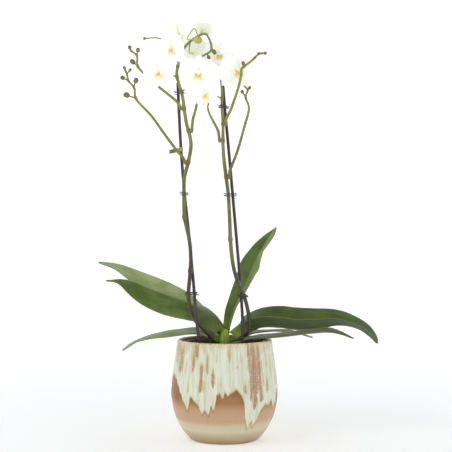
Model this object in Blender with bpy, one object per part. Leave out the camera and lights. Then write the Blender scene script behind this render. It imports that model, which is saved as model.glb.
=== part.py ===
"""Potted moth orchid: two staked flower spikes and a fan of leaves in a glazed cachepot.

Metres, +Z up.  The origin is the centre of the cachepot's base, and -Y is the plant's front.
Plant heights are measured from the cachepot's rim, so the plant rises with the pot.
"""
import math

import bmesh
import bpy
from mathutils import Matrix, Vector, noise

# ---- cachepot ---------------------------------------------------------------
POT_HEIGHT = 0.138
POT_RIM_RADIUS = 0.0655
POT_BELLY_RADIUS = 0.0735
POT_BASE_RADIUS = 0.0465
POT_WALL = 0.005
POT_FLOOR = 0.006

# ---- inner nursery pot and what it holds -------------------------------------
NURSERY_SIDE_GAP = 0.0010
NURSERY_DROP = 0.0040
NURSERY_WALL = 0.0012
NURSERY_TAPER = 0.86
BARK_DROP = 0.0130
BARK_BUMP = 0.0030
NURSERY_KNEE = 0.024
NURSERY_TUCK = 0.018
BARK_SLACK = 0.0008
REST_GAP = 0.0003
FIT_GAP = 0.0004

# ---- plant --------------------------------------------------------------------
CROWN_RADIUS = 0.0075
CROWN_TOP = 0.014
CROWN_BOTTOM = -0.040
ROOT_RADIUS = 0.0026
ROOT_SPREAD = 0.0583  # the inner radius of the nursery pot the root routes are laid out for
LEAF_THICKNESS = 0.0018
SPIKE_RADIUS = 0.0027
BRANCH_RADIUS = 0.0020
SHOOT_RADIUS = 0.0012
STEM_FULL = 0.90
STEM_FULL_SHARE = 0.62
STALK_REACH = 0.010
PETAL_THICKNESS = 0.0007
FLOWER_LENGTH = 0.0265

# ---- supports -----------------------------------------------------------------
STAKE_RADIUS = 0.0021
CLIP_HEIGHT = 0.0045
CLIP_WALL = 0.0012
CLIP_GAP = 0.0006
TAPE_WIDTH = 0.0055
TAPE_THICKNESS = 0.0007
TAPE_FLAG = 0.0140
TAPE_PLACE = 0.2611

NURSERY_RADIUS = POT_RIM_RADIUS - POT_WALL - NURSERY_SIDE_GAP
NURSERY_INNER = NURSERY_RADIUS - NURSERY_WALL
NURSERY_BOTTOM = POT_FLOOR + REST_GAP
NURSERY_TOP = POT_HEIGHT - NURSERY_DROP
BARK_TOP = POT_HEIGHT - BARK_DROP
BARK_BOTTOM = NURSERY_BOTTOM + NURSERY_WALL + REST_GAP

# Outside of the cachepot: (share of the height, place between two radii).
POT_OUTLINE = [
    (0.00, "base", 0.00), (0.03, "base", 0.14), (0.10, "base", 0.44), (0.19, "base", 0.70),
    (0.28, "base", 0.87), (0.38, "base", 0.97), (0.48, "base", 1.00), (0.60, "rim", 0.85),
    (0.72, "rim", 0.60), (0.84, "rim", 0.33), (0.94, "rim", 0.10), (1.00, "rim", 0.00),
]

# Routes are (x, y, height above the rim).
LEFT_SPIKE = [
    (-0.0152, -0.0120, -0.0011), (-0.0254, -0.0180, 0.0123), (-0.0363, -0.0212, 0.0238),
    (-0.0430, -0.0228, 0.0342), (-0.0470, -0.0265, 0.0466), (-0.0492, -0.0325, 0.0631),
    (-0.0465, -0.0375, 0.0960), (-0.0457, -0.0385, 0.1142), (-0.0477, -0.0385, 0.1380),
    (-0.0541, -0.0385, 0.1692), (-0.0549, -0.0385, 0.2004), (-0.0544, -0.0380, 0.2221),
    (-0.0493, -0.0370, 0.2429), (-0.0456, -0.0370, 0.2637), (-0.0467, -0.0370, 0.2773),
    (-0.0524, -0.0370, 0.3001), (-0.0569, -0.0370, 0.3321), (-0.0612, -0.0380, 0.3476),
    (-0.0647, -0.0380, 0.3618), (-0.0631, -0.0360, 0.3755), (-0.0601, -0.0330, 0.3894),
    (-0.0552, -0.0290, 0.3995), (-0.0471, -0.0270, 0.4087), (-0.0362, -0.0270, 0.4162),
    (-0.0266, -0.0280, 0.4192), (-0.0211, -0.0300, 0.4123), (-0.0179, -0.0320, 0.4019),
    (-0.0193, -0.0340, 0.3942), (-0.0285, -0.0360, 0.3884), (-0.0346, -0.0370, 0.3842),
    (-0.0400, -0.0380, 0.3793),
]
RIGHT_SPIKE = [
    (0.0195, -0.0195, 0.0015), (0.0285, -0.0220, 0.0083), (0.0330, -0.0265, 0.0181),
    (0.0336, -0.0295, 0.0304), (0.0304, -0.0345, 0.0483), (0.0264, -0.0378, 0.0621),
    (0.0223, -0.0385, 0.0703), (0.0187, -0.0388, 0.0791), (0.0119, -0.0388, 0.1026),
    (0.0083, -0.0388, 0.1339), (0.0065, -0.0388, 0.1747), (0.0047, -0.0388, 0.2032),
    (-0.0004, -0.0388, 0.2430), (-0.0021, -0.0388, 0.2688), (-0.0021, -0.0388, 0.2948),
    (-0.0036, -0.0388, 0.3184), (-0.0034, -0.0370, 0.3413), (-0.0055, -0.0320, 0.3607),
    (-0.0041, -0.0260, 0.3747), (0.0013, -0.0190, 0.3850),
]
LEFT_STAKE = [
    (-0.0280, -0.0215, -0.0900), (-0.0353, -0.0262, 0.0000), (-0.0383, -0.0275, 0.0287),
    (-0.0421, -0.0300, 0.0767), (-0.0484, -0.0320, 0.1448), (-0.0543, -0.0320, 0.2005),
    (-0.0588, -0.0305, 0.2537), (-0.0620, -0.0305, 0.3110), (-0.0637, -0.0305, 0.3532),
]
RIGHT_STAKE = [
    (0.0246, -0.0250, -0.0900), (0.0246, -0.0280, 0.0000), (0.0246, -0.0295, 0.0268),
    (0.0216, -0.0315, 0.0767), (0.0166, -0.0320, 0.1363), (0.0110, -0.0320, 0.2005),
    (0.0058, -0.0320, 0.2588), (0.0005, -0.0315, 0.3161), (-0.0025, -0.0290, 0.3530),
]

# name: (spike, height where it leaves the spike, its route, its buds); a bud is its stalk's
# foot, the points its stalk passes, its tip, its radius and its length.
BRANCHES = {
    "left_branch_low": (LEFT_SPIKE, 0.2435, [
        (-0.0555, -0.0420, 0.2485), (-0.0600, -0.0440, 0.2540), (-0.0650, -0.0452, 0.2596),
        (-0.0800, -0.0470, 0.2796), (-0.0983, -0.0480, 0.3051), (-0.1186, -0.0480, 0.3273),
        (-0.1216, -0.0470, 0.3429), (-0.1295, -0.0460, 0.3525), (-0.1313, -0.0450, 0.3607),
        (-0.1345, -0.0440, 0.3683)], [
        ((-0.1195, -0.0478, 0.3290), (), (-0.1317, -0.0500, 0.3332), 0.0038, 0.0087),
        ((-0.1225, -0.0468, 0.3440), (), (-0.1193, -0.0470, 0.3529), 0.0034, 0.0078),
        ((-0.1297, -0.0459, 0.3530), (), (-0.1372, -0.0470, 0.3567), 0.0029, 0.0067),
        ((-0.1317, -0.0448, 0.3620), (), (-0.1275, -0.0440, 0.3676), 0.0021, 0.0048),
        ((-0.1340, -0.0442, 0.3670), (), (-0.1352, -0.0440, 0.3705), 0.0022, 0.0050)]),
    "left_branch_middle": (LEFT_SPIKE, 0.3165, [
        (-0.0615, -0.0405, 0.3211), (-0.0667, -0.0385, 0.3274), (-0.0771, -0.0320, 0.3364),
        (-0.0913, -0.0220, 0.3485), (-0.1049, -0.0140, 0.3607), (-0.1146, -0.0100, 0.3707),
        (-0.1204, -0.0100, 0.3787), (-0.1210, -0.0100, 0.3920), (-0.1292, -0.0100, 0.3990),
        (-0.1314, -0.0100, 0.4042)], [
        ((-0.1199, -0.0100, 0.3779), (), (-0.1269, -0.0100, 0.3837), 0.0035, 0.0085),
        ((-0.1211, -0.0100, 0.3925), (), (-0.1196, -0.0100, 0.3999), 0.0029, 0.0067),
        ((-0.1292, -0.0100, 0.3990), (), (-0.1310, -0.0100, 0.4036), 0.0025, 0.0058)]),
    "left_branch_right": (LEFT_SPIKE, 0.2860, [
        (-0.0436, -0.0400, 0.2945), (-0.0425, -0.0390, 0.3030), (-0.0400, -0.0360, 0.3120),
        (-0.0372, -0.0300, 0.3250), (-0.0352, -0.0270, 0.3380), (-0.0337, -0.0270, 0.3480),
        (-0.0332, -0.0300, 0.3560)], []),
    "right_branch_left": (RIGHT_SPIKE, 0.2730, [
        (-0.0085, -0.0400, 0.2850), (-0.0136, -0.0400, 0.2957), (-0.0205, -0.0400, 0.3090),
        (-0.0225, -0.0380, 0.3160)], [
        ((-0.0223, -0.0382, 0.3150), (), (-0.0232, -0.0345, 0.3225), 0.0024, 0.0056)]),
    "right_branch_upper": (RIGHT_SPIKE, 0.2955, [
        (0.0025, -0.0420, 0.3020), (0.0052, -0.0450, 0.3075), (0.0090, -0.0490, 0.3150),
        (0.0182, -0.0560, 0.3411), (0.0223, -0.0580, 0.3588), (0.0235, -0.0570, 0.3678),
        (0.0353, -0.0530, 0.3778), (0.0458, -0.0490, 0.3879), (0.0544, -0.0460, 0.3900)], [
        ((0.0260, -0.0560, 0.3700), (), (0.0250, -0.0555, 0.3750), 0.0025, 0.0058),
        ((0.0410, -0.0510, 0.3830), (), (0.0460, -0.0485, 0.3890), 0.0022, 0.0050),
        ((0.0500, -0.0475, 0.3890), (), (0.0548, -0.0458, 0.3901), 0.0022, 0.0050)]),
    "right_branch_lower": (RIGHT_SPIKE, 0.2235, [
        (0.0070, -0.0415, 0.2310), (0.0105, -0.0430, 0.2400), (0.0181, -0.0440, 0.2602),
        (0.0263, -0.0440, 0.2892), (0.0330, -0.0430, 0.3154), (0.0285, -0.0420, 0.3311),
        (0.0313, -0.0410, 0.3407), (0.0262, -0.0400, 0.3470)], [
        ((0.0290, -0.0420, 0.3300), (), (0.0240, -0.0420, 0.3385), 0.0024, 0.0055),
        ((0.0310, -0.0411, 0.3400), (), (0.0340, -0.0400, 0.3440), 0.0022, 0.0050)]),
}
LEFT_BUDS = [
    ((-0.0180, -0.0325, 0.4000), (), (-0.0140, -0.0330, 0.3935), 0.0030, 0.0075),
    ((-0.0240, -0.0350, 0.3912), (), (-0.0215, -0.0360, 0.3860), 0.0026, 0.0060),
    ((-0.0362, -0.0275, 0.4162), ((-0.0410, -0.0330, 0.4255), (-0.0477, -0.0355, 0.4170),
                                  (-0.0503, -0.0360, 0.4105)),
     (-0.0362, -0.0360, 0.4096), 0.0052, 0.0120),
    ((-0.0352, -0.0371, 0.3838), (), (-0.0405, -0.0381, 0.3788), 0.0024, 0.0055),
    ((-0.0552, -0.0290, 0.3995), ((-0.0620, -0.0120, 0.4050), (-0.0760, 0.0020, 0.4120),
                                  (-0.0899, 0.0040, 0.4180), (-0.0990, 0.0040, 0.4192)),
     (-0.1114, 0.0040, 0.4182), 0.0020, 0.0050),
]

# name: (place above the rim, turn, nod, roll, size); turn 0 looks at -Y and + looks to +X.
FLOWERS = {
    "left_front": ((-0.0682, -0.0680, 0.3918), -42, 6, 0, 0.92),
    "left_low": ((-0.0880, -0.0360, 0.3650), -34, 10, 8, 0.98),
    "centre": ((-0.0352, -0.0740, 0.3579), 4, 8, -4, 1.00),
    "centre_low": ((-0.0240, -0.0495, 0.3335), -45, 16, 6, 0.84),
    "right": ((0.0180, -0.0392, 0.3663), 15, 6, 0, 1.10),
    "left_back": ((-0.0640, -0.0150, 0.4200), -15, 0, 0, 0.90),
    "middle_back": ((-0.0440, -0.0020, 0.3960), 150, 4, 0, 0.95),
    "right_back": ((-0.0090, -0.0120, 0.3920), 20, 0, 0, 0.90),
    "top": ((-0.0303, -0.0200, 0.4258), 150, -50, 0, 0.50),
}
# Where each flower's stalk leaves the piece it grows on, and the points it passes.
STALKS = {
    "left_spike": {
        "left_low": [(-0.0640, -0.0378, 0.3590)], "left_front": [(-0.0635, -0.0363, 0.3735)],
        "left_back": [(-0.0720, -0.0010, 0.4105)], "middle_back": [(-0.0471, -0.0270, 0.4087)],
        "top": [(-0.0290, -0.0278, 0.4185)]},
    "right_spike": {
        "centre_low": [(-0.0040, -0.0375, 0.3300)], "right": [(-0.0050, -0.0300, 0.3650)],
        "right_back": [(-0.0041, -0.0260, 0.3747), (-0.0060, -0.0110, 0.3760),
                       (-0.0105, -0.0010, 0.3840)]},
    "left_branch_right": {"centre": [(-0.0332, -0.0300, 0.3555)]},
}

# name: (midrib above the rim, half width, near-half tilts, far-half tilts, share of the
# width at the base, how slowly it widens); tilts are degrees from level at the base, the
# middle and the tip, and below 0 they hang down.
LEAVES = {
    "left_upper": (
        [(-0.0100, 0.0030, 0.0110), (-0.0165, 0.0040, 0.0235), (-0.0300, 0.0060, 0.0388),
         (-0.0495, 0.0090, 0.0492), (-0.0699, 0.0120, 0.0569), (-0.0985, 0.0160, 0.0664),
         (-0.1270, 0.0200, 0.0776), (-0.1469, 0.0220, 0.0822), (-0.1663, 0.0230, 0.0805)],
        0.0290, (-20, -62, -20), (20, -6, -4), 0.50, 0.6),
    "left_back": (
        [(-0.0084, 0.0098, 0.0060), (-0.0249, 0.0300, 0.0225), (-0.0509, 0.0440, 0.0415),
         (-0.0743, 0.0560, 0.0580), (-0.1009, 0.0660, 0.0715), (-0.1306, 0.0760, 0.0850),
         (-0.1576, 0.0830, 0.0975), (-0.1850, 0.0880, 0.1045)],
        0.0240, (15, -28, -8), (25, 22, 6), 0.40, 0.9),
    "left_low": (
        [(-0.0104, 0.0060, -0.0040), (-0.0250, 0.0130, 0.0045), (-0.0420, 0.0200, 0.0092),
         (-0.0645, 0.0280, 0.0092), (-0.0903, 0.0340, 0.0056), (-0.1135, 0.0400, -0.0012),
         (-0.1309, 0.0440, -0.0096), (-0.1466, 0.0460, -0.0205)],
        0.0215, (8, -14, -8), (18, 4, 4), 0.40, 0.8),
    "right_upright": (
        [(0.0025, 0.0175, 0.0040), (0.0040, 0.0245, 0.0140), (0.0100, 0.0340, 0.0330),
         (0.0215, 0.0440, 0.0560), (0.0351, 0.0560, 0.0850), (0.0410, 0.0618, 0.0990),
         (0.0470, 0.0665, 0.1120), (0.0540, 0.0705, 0.1240), (0.0612, 0.0745, 0.1352),
         (0.0682, 0.0783, 0.1455), (0.0752, 0.0820, 0.1555)],
        0.0225, (42, 20, 6), (42, 20, 6), 0.24, 2.4),
    "right_upper": (
        [(0.0100, 0.0030, 0.0090), (0.0155, 0.0040, 0.0155), (0.0271, 0.0060, 0.0225),
         (0.0397, 0.0090, 0.0280), (0.0566, 0.0110, 0.0302), (0.0790, 0.0120, 0.0290),
         (0.0986, 0.0120, 0.0262), (0.1266, 0.0120, 0.0262), (0.1545, 0.0110, 0.0275),
         (0.1738, 0.0080, 0.0240), (0.1929, 0.0040, 0.0163), (0.2063, 0.0000, 0.0042),
         (0.2118, -0.0020, -0.0054)],
        0.0290, (-36, -22, -6), (-14, 34, 8), 0.55, 0.7),
    "right_low": (
        [(0.0092, 0.0010, -0.0070), (0.0201, 0.0000, -0.0030), (0.0422, -0.0030, 0.0040),
         (0.0643, -0.0060, 0.0070), (0.0973, -0.0090, 0.0108), (0.1247, -0.0120, 0.0138),
         (0.1466, -0.0140, 0.0146), (0.1630, -0.0150, 0.0105), (0.1780, -0.0160, 0.0030)],
        0.0190, (4, -10, -6), (6, 2, 0), 0.45, 0.9),
    "right_back": (
        [(0.0070, 0.0130, -0.0040), (0.0360, 0.0340, 0.0065), (0.0720, 0.0500, 0.0070),
         (0.1028, 0.0600, 0.0040), (0.1279, 0.0660, -0.0035)],
        0.0150, (4, 2, 0), (12, 4, 2), 0.40, 0.9),
}
ROOTS = {
    "left": [(-0.0130, 0.0100, -0.0100), (-0.0300, 0.0050, -0.0095),
             (-0.0450, -0.0080, -0.0100), (-0.0475, -0.0230, -0.0180)],
    "right": [(0.0110, 0.0100, -0.0100), (0.0270, 0.0100, -0.0095),
              (0.0420, -0.0020, -0.0100), (0.0470, -0.0200, -0.0180)],
}
CLIP_HEIGHTS = {
    "left": (LEFT_STAKE, LEFT_SPIKE, {"low": 0.0651, "middle": 0.2005, "high": 0.3386}),
    "right": (RIGHT_STAKE, RIGHT_SPIKE, {"low": 0.0619, "middle": 0.1992, "high": 0.3189}),
}


# ---- small helpers ------------------------------------------------------------
def clear_scene():
    """Start from an empty scene."""
    for thing in list(bpy.data.objects):
        bpy.data.objects.remove(thing, do_unlink=True)


def material(name, colour, roughness, metallic=0.0):
    """One Principled material with a plain colour."""
    shade = bpy.data.materials.new(name)
    shade.use_nodes = True
    shader = shade.node_tree.nodes["Principled BSDF"]
    shader.inputs["Base Color"].default_value = (*colour, 1.0)
    shader.inputs["Roughness"].default_value = roughness
    shader.inputs["Metallic"].default_value = metallic
    return shade


def add(name, mesh, shade, smooth=True):
    """Put a finished mesh in the scene as one named piece."""
    piece = bpy.data.objects.new(name, mesh)
    bpy.context.scene.collection.objects.link(piece)
    mesh.materials.clear()
    mesh.materials.append(shade)
    if smooth:
        mesh.shade_smooth()
    return piece


def boolean(piece, cutter, operation):
    """Add a Boolean modifier and mark its other solid as a guide."""
    cutter.hide_render = True
    cutter.display_type = "WIRE"
    modifier = piece.modifiers.new(operation.lower(), "BOOLEAN")
    modifier.operation = operation
    modifier.object = cutter
    modifier.solver = "EXACT"
    modifier.use_self = operation == "UNION"


def above_rim(point):
    """Turn a height above the rim into a height above the base."""
    return Vector((point[0], point[1], POT_HEIGHT + point[2]))


def smooth_route(points, steps=3):
    """Points along a smooth curve that passes through every given point."""
    ends = [2 * points[0] - points[1]] + list(points) + [2 * points[-1] - points[-2]]
    route = []
    for a, b, c, d in zip(ends, ends[1:], ends[2:], ends[3:]):
        for step in range(steps):
            t = step / steps
            route.append(0.5 * (2 * b + (c - a) * t + (2 * a - 5 * b + 4 * c - d) * t * t
                                + (3 * b - a - 3 * c + d) * t ** 3))
    return route + [points[-1]]


def tube_mesh(points, radii, resolution=2):
    """A closed round tube along points, with its own radius at each one."""
    curve = bpy.data.curves.new("route", "CURVE")
    curve.dimensions = "3D"
    curve.bevel_depth = 1.0
    curve.bevel_resolution = resolution
    curve.use_fill_caps = True
    spline = curve.splines.new("POLY")
    spline.points.add(len(points) - 1)
    for handle, place, radius in zip(spline.points, points, radii):
        handle.co = (*place, 1.0)
        handle.radius = radius
    holder = bpy.data.objects.new("route", curve)
    mesh = bpy.data.meshes.new_from_object(holder)
    bpy.data.objects.remove(holder)
    bpy.data.curves.remove(curve)
    work = bmesh.new()
    work.from_mesh(mesh)
    bmesh.ops.remove_doubles(work, verts=work.verts, dist=1e-6)
    bmesh.ops.recalc_face_normals(work, faces=work.faces)
    work.to_mesh(mesh)
    work.free()
    return mesh


def joined(meshes):
    """Several separate closed shells in one mesh."""
    work = bmesh.new()
    for mesh in meshes:
        work.from_mesh(mesh)
    whole = bpy.data.meshes.new("joined")
    work.to_mesh(whole)
    work.free()
    return whole


def turned(name, profile, segments, shade):
    """Spin a closed outline of (radius, height) points about Z."""
    work = bmesh.new()
    rim = [work.verts.new((radius, 0.0, height)) for radius, height in profile]
    for low, high in zip(rim, rim[1:]):
        work.edges.new((low, high))
    bmesh.ops.spin(work, geom=work.verts[:] + work.edges[:], cent=(0, 0, 0), axis=(0, 0, 1),
                   angle=math.tau, steps=segments, use_merge=True)
    bmesh.ops.remove_doubles(work, verts=work.verts, dist=1e-6)
    bmesh.ops.recalc_face_normals(work, faces=work.faces)
    mesh = bpy.data.meshes.new(name)
    work.to_mesh(mesh)
    work.free()
    mesh.shade_smooth()
    mesh.set_sharp_from_angle(angle=math.radians(40))
    return add(name, mesh, shade, smooth=False)


# ---- pot, liner and bark --------------------------------------------------------
def pot_outside():
    """The cachepot's outer outline, from base to rim."""
    upper = {"base": POT_BELLY_RADIUS, "rim": POT_BELLY_RADIUS}
    lower = {"base": POT_BASE_RADIUS, "rim": POT_RIM_RADIUS}
    return [(lower[end] + (upper[end] - lower[end]) * share, POT_HEIGHT * height)
            for height, end, share in POT_OUTLINE]


def ceramic_pot(shade):
    """A full-bellied pot with a flat base and an open top."""
    outside = pot_outside()
    inside = [(radius - POT_WALL, max(height, POT_FLOOR)) for radius, height in outside[1::2]]
    profile = [(0.0, 0.0)] + outside + inside[::-1] + [(0.0, POT_FLOOR)]
    return turned("ceramic_pot", profile, 40, shade)


def nursery_pot(shade):
    """A thin clear grower's pot that stands on the cachepot's floor."""
    foot = NURSERY_RADIUS * NURSERY_TAPER - NURSERY_TUCK
    belly = NURSERY_RADIUS * NURSERY_TAPER
    knee = NURSERY_BOTTOM + NURSERY_KNEE
    profile = [
        (0.0, NURSERY_BOTTOM), (foot, NURSERY_BOTTOM), (belly, knee),
        (NURSERY_RADIUS, NURSERY_TOP), (NURSERY_INNER, NURSERY_TOP),
        (belly - NURSERY_WALL, knee + NURSERY_WALL * 0.5),
        (foot - NURSERY_WALL * 0.5, NURSERY_BOTTOM + NURSERY_WALL),
        (0.0, NURSERY_BOTTOM + NURSERY_WALL),
    ]
    return turned("nursery_pot", profile, 32, shade)


def bark_medium(shade, cutters):
    """Chunky bark that fills the grower's pot, bored for the stakes, crown and roots."""
    foot = NURSERY_RADIUS * NURSERY_TAPER - NURSERY_TUCK - NURSERY_WALL - REST_GAP
    belly = NURSERY_RADIUS * NURSERY_TAPER - NURSERY_WALL - REST_GAP
    edge = NURSERY_INNER - REST_GAP - BARK_SLACK
    knee = NURSERY_BOTTOM + NURSERY_KNEE + BARK_SLACK * 2.5
    rings = [(edge * share, BARK_TOP) for share in (1.0, 0.8, 0.6, 0.4, 0.2, 0.0)]
    profile = [(0.0, BARK_BOTTOM), (foot, BARK_BOTTOM), (belly, knee)] + rings
    bark = turned("bark_medium", profile, 32, shade)
    for corner in bark.data.vertices:
        if corner.co.z > BARK_TOP - 1e-6 and corner.co.xy.length < edge * 0.9:
            corner.co.z += BARK_BUMP * noise.noise(corner.co * 90.0)
    for cutter in cutters:
        boolean(bark, cutter, "DIFFERENCE")
    return bark


# ---- stems ------------------------------------------------------------------------
def at_height(route, height):
    """The place on a route at a height above the rim, and its share of the points passed."""
    points = [Vector(p) for p in route]
    for step, (low, high) in enumerate(zip(points, points[1:])):
        if low.z <= height <= high.z:
            rest = (height - low.z) / (high.z - low.z)
            return low.lerp(high, rest), (step + rest) / (len(points) - 1)
    return points[-1], 1.0


def spike_radius(share, radius=SPIKE_RADIUS, tip_radius=SHOOT_RADIUS):
    """A stem's radius at a share of its points: full for most of it, then drawn out."""
    if share < STEM_FULL_SHARE:
        return radius * (1 - (1 - STEM_FULL) * share / STEM_FULL_SHARE)
    rest = (share - STEM_FULL_SHARE) / (1 - STEM_FULL_SHARE)
    return radius * STEM_FULL + (tip_radius - radius * STEM_FULL) * rest


def branching(spike_route, height, onward):
    """A branch's route: square out of the spike's side at a height, then through onward."""
    centre, share = at_height(spike_route, height)
    out = (Vector(onward[0]) - centre)
    out.z = 0.0
    out.normalize()
    along = at_height(spike_route, height + BRANCH_RADIUS)[0] - centre
    lean = abs(along.dot(out))
    start = centre + out * (spike_radius(share) + FIT_GAP + lean)
    return [start, start + out * BRANCH_RADIUS] + onward


def bud_tube(start, bends, end, stalk, bud_radius, bud_length):
    """A thin stalk, through its bends, that swells into an oval bud at its far end."""
    before = bends[-1] if bends else start
    along = (end - before).normalized()
    tail = end - along * bud_length * 0.5
    passed = smooth_route([start, *bends, tail], 2)[:-1] if bends else [start, start.lerp(tail, 0.5)]
    points, radii = list(passed), [stalk] * len(passed)
    for turn in (14, 55, 95, 135, 168):
        angle = math.radians(turn)
        points.append(tail + along * bud_length * 0.5 * (1 - math.cos(angle)))
        radii.append(max(bud_radius * math.sin(angle), stalk * 0.7 if turn < 90 else 0.0004))
    return tube_mesh(points, radii, 1)


def stem(name, route, radius, shade, shoots=()):
    """A stem along its route, joined with the stalks and buds that grow on it."""
    points = [above_rim(p) for p in route]
    radii = [spike_radius(step / (len(points) - 1), radius) for step in range(len(points))]
    trunk = add(name, tube_mesh(points, radii), shade)
    if shoots:
        guide = add(name + "_shoots", joined(shoots), shade)
        boolean(trunk, guide, "UNION")


def bud(start, bends, end, bud_radius, bud_length):
    """A side bud whose places are given above the rim."""
    return bud_tube(above_rim(start), [above_rim(bend) for bend in bends], above_rim(end),
                    SHOOT_RADIUS, bud_radius, bud_length)


def flower_stalk(way, name):
    """A stalk along its way from a stem to the back of a flower."""
    frame = flower_frame(name)
    back = -(PETAL_THICKNESS / 2 + REST_GAP) / frame.median_scale
    points = [above_rim(p) for p in way]
    points += [frame @ Vector((0, 0, depth)) for depth in (-STALK_REACH, -STALK_REACH / 2, back)]
    route = smooth_route(points, 2)
    return tube_mesh(route, [SHOOT_RADIUS] * len(route), 1)


def shoots_of(name, buds):
    """The buds and the flower stalks that grow on one stem."""
    stalks = [flower_stalk(way, bloom) for bloom, way in STALKS.get(name, {}).items()]
    return stalks + [bud(*one) for one in buds]


def stems(shade):
    """Both flower spikes and their side branches."""
    stem("left_spike", LEFT_SPIKE, SPIKE_RADIUS, shade, shoots_of("left_spike", LEFT_BUDS))
    stem("right_spike", RIGHT_SPIKE, SPIKE_RADIUS, shade, shoots_of("right_spike", []))
    for name, (spike_route, height, onward, buds) in BRANCHES.items():
        stem(name, branching(spike_route, height, onward), BRANCH_RADIUS, shade,
             shoots_of(name, buds))


# ---- flowers -----------------------------------------------------------------------
SEPALS = [(90, 42), (222, 42), (318, 42)]
PETALS = [(14, 80), (166, 80)]


def flower_frame(name):
    """Where a flower is: +Z out of its face and +Y up."""
    place, turn, nod, roll, size = FLOWERS[name]
    return (Matrix.Translation(above_rim(place)) @ Matrix.Rotation(math.radians(turn), 4, "Z")
            @ Matrix.Rotation(math.radians(90 + nod), 4, "X")
            @ Matrix.Rotation(math.radians(roll), 4, "Z") @ Matrix.Scale(size, 4))


def lobed_sheet(name, lobes, fullness, lift, cup, segments, rings, frame, shade):
    """A flat spun disc drawn out into lobes, cupped and given its thickness."""
    hub = FLOWER_LENGTH * 0.16
    work = bmesh.new()
    spoke = [work.verts.new((step / rings, 0, 0)) for step in range(rings + 1)]
    for inner, outer in zip(spoke, spoke[1:]):
        work.edges.new((inner, outer))
    bmesh.ops.spin(work, geom=work.verts[:] + work.edges[:], cent=(0, 0, 0), axis=(0, 0, 1),
                   angle=math.tau, steps=segments, use_merge=True)
    bmesh.ops.remove_doubles(work, verts=work.verts, dist=1e-6)
    for corner in work.verts:
        share = corner.co.xy.length
        angle = math.degrees(math.atan2(corner.co.y, corner.co.x)) % 360
        reach = hub
        for middle, spread in lobes:
            off = abs((angle - middle + 180) % 360 - 180)
            if off < spread:
                swell = math.cos(math.radians(90 * off / spread)) ** fullness
                reach = max(reach, hub + (FLOWER_LENGTH - hub) * swell)
        radius = share * reach
        heading = math.radians(angle)
        corner.co = (radius * math.cos(heading), radius * math.sin(heading),
                     lift + cup * radius ** 2 / FLOWER_LENGTH)
    bmesh.ops.recalc_face_normals(work, faces=work.faces)
    mesh = bpy.data.meshes.new(name)
    work.to_mesh(mesh)
    work.free()
    mesh.transform(frame)
    sheet = add(name, mesh, shade)
    thickness = sheet.modifiers.new("thickness", "SOLIDIFY")
    thickness.thickness = PETAL_THICKNESS
    thickness.offset = 0.0
    return sheet


def lip(name, frame, shade):
    """The column and the tongue below it, as one closed form."""
    route = [(0.0030, 0.0034), (-0.0005, 0.0034), (-0.0045, 0.0060),
             (-0.0085, 0.0085), (-0.0125, 0.0090), (-0.0155, 0.0070)]
    radii = [0.0016, 0.0027, 0.0026, 0.0034, 0.0030, 0.0010]
    size = frame.median_scale
    lift = (PETAL_THICKNESS + REST_GAP) / size
    points = [frame @ Vector((0, across, lift + out)) for across, out in route]
    return add(name, tube_mesh(points, [radius * size for radius in radii], 1), shade)


def flower(name, white, yellow):
    """Three sepals behind, two broad petals in front, and the lip."""
    frame = flower_frame(name)
    name = "flower_" + name
    step = (PETAL_THICKNESS + REST_GAP) / frame.median_scale
    lobed_sheet(name + "_sepals", SEPALS, 0.75, 0.0, -0.10, 24, 2, frame, white)
    lobed_sheet(name + "_petals", PETALS, 0.50, step, 0.12, 24, 2, frame, white)
    lip(name + "_lip", frame, yellow)


# ---- leaves -------------------------------------------------------------------------
def three_point(values, t):
    """Read a value that is given at the base, the middle and the tip."""
    base, middle, tip = values
    if t < 0.5:
        return base + (middle - base) * t * 2
    return middle + (tip - middle) * (t - 0.5) * 2


def leaf_width(t, base, slowness):
    """A strap that widens from its clasping base and draws in to its tip."""
    if t < 0.5:
        return base + (1 - base) * math.sin(math.pi * t) ** slowness
    return max(0.10, (1 - (2 * t - 1) ** 2) ** 0.85)


def leaf(name, shade, along=12, across=4):
    """A keeled strap that follows its midrib."""
    midrib, half_width, near_tilts, far_tilts, base, slowness = LEAVES[name]
    route = smooth_route([above_rim(p) for p in midrib], 8)
    work = bmesh.new()
    bmesh.ops.create_grid(work, x_segments=along, y_segments=across, size=0.5)
    for corner in work.verts:
        t, s = corner.co.x + 0.5, corner.co.y * 2
        step = min(int(t * (len(route) - 1)), len(route) - 2)
        rest = t * (len(route) - 1) - step
        middle = route[step].lerp(route[step + 1], rest)
        tangent = (route[step + 1] - route[step]).normalized()
        near = tangent.cross(Vector((0, 0, 1))).normalized()
        if near.y > 0:
            near = -near
        up = near.cross(tangent)
        if up.z < 0:
            up = -up
        side = near if s < 0 else -near
        tilt = math.radians(three_point(near_tilts if s < 0 else far_tilts, t))
        reach = half_width * leaf_width(t, base, slowness) * abs(s)
        corner.co = middle + side * reach * math.cos(tilt) + up * reach * math.sin(tilt)
    bmesh.ops.recalc_face_normals(work, faces=work.faces)
    mesh = bpy.data.meshes.new(name)
    work.to_mesh(mesh)
    work.free()
    blade = add("leaf_" + name, mesh, shade)
    thickness = blade.modifiers.new("thickness", "SOLIDIFY")
    thickness.thickness = LEAF_THICKNESS
    thickness.offset = 0.0
    return blade


# ---- stakes, clips and tape ------------------------------------------------------------
def stake(name, route, shade, extra=0.0):
    """A plain round stake; extra makes the fatter copy that bores its hole."""
    radius = STAKE_RADIUS + extra
    points = [above_rim(p) for p in route]
    points[0].z -= extra
    return add(name, tube_mesh(points, [radius] * len(route)), shade)


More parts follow.
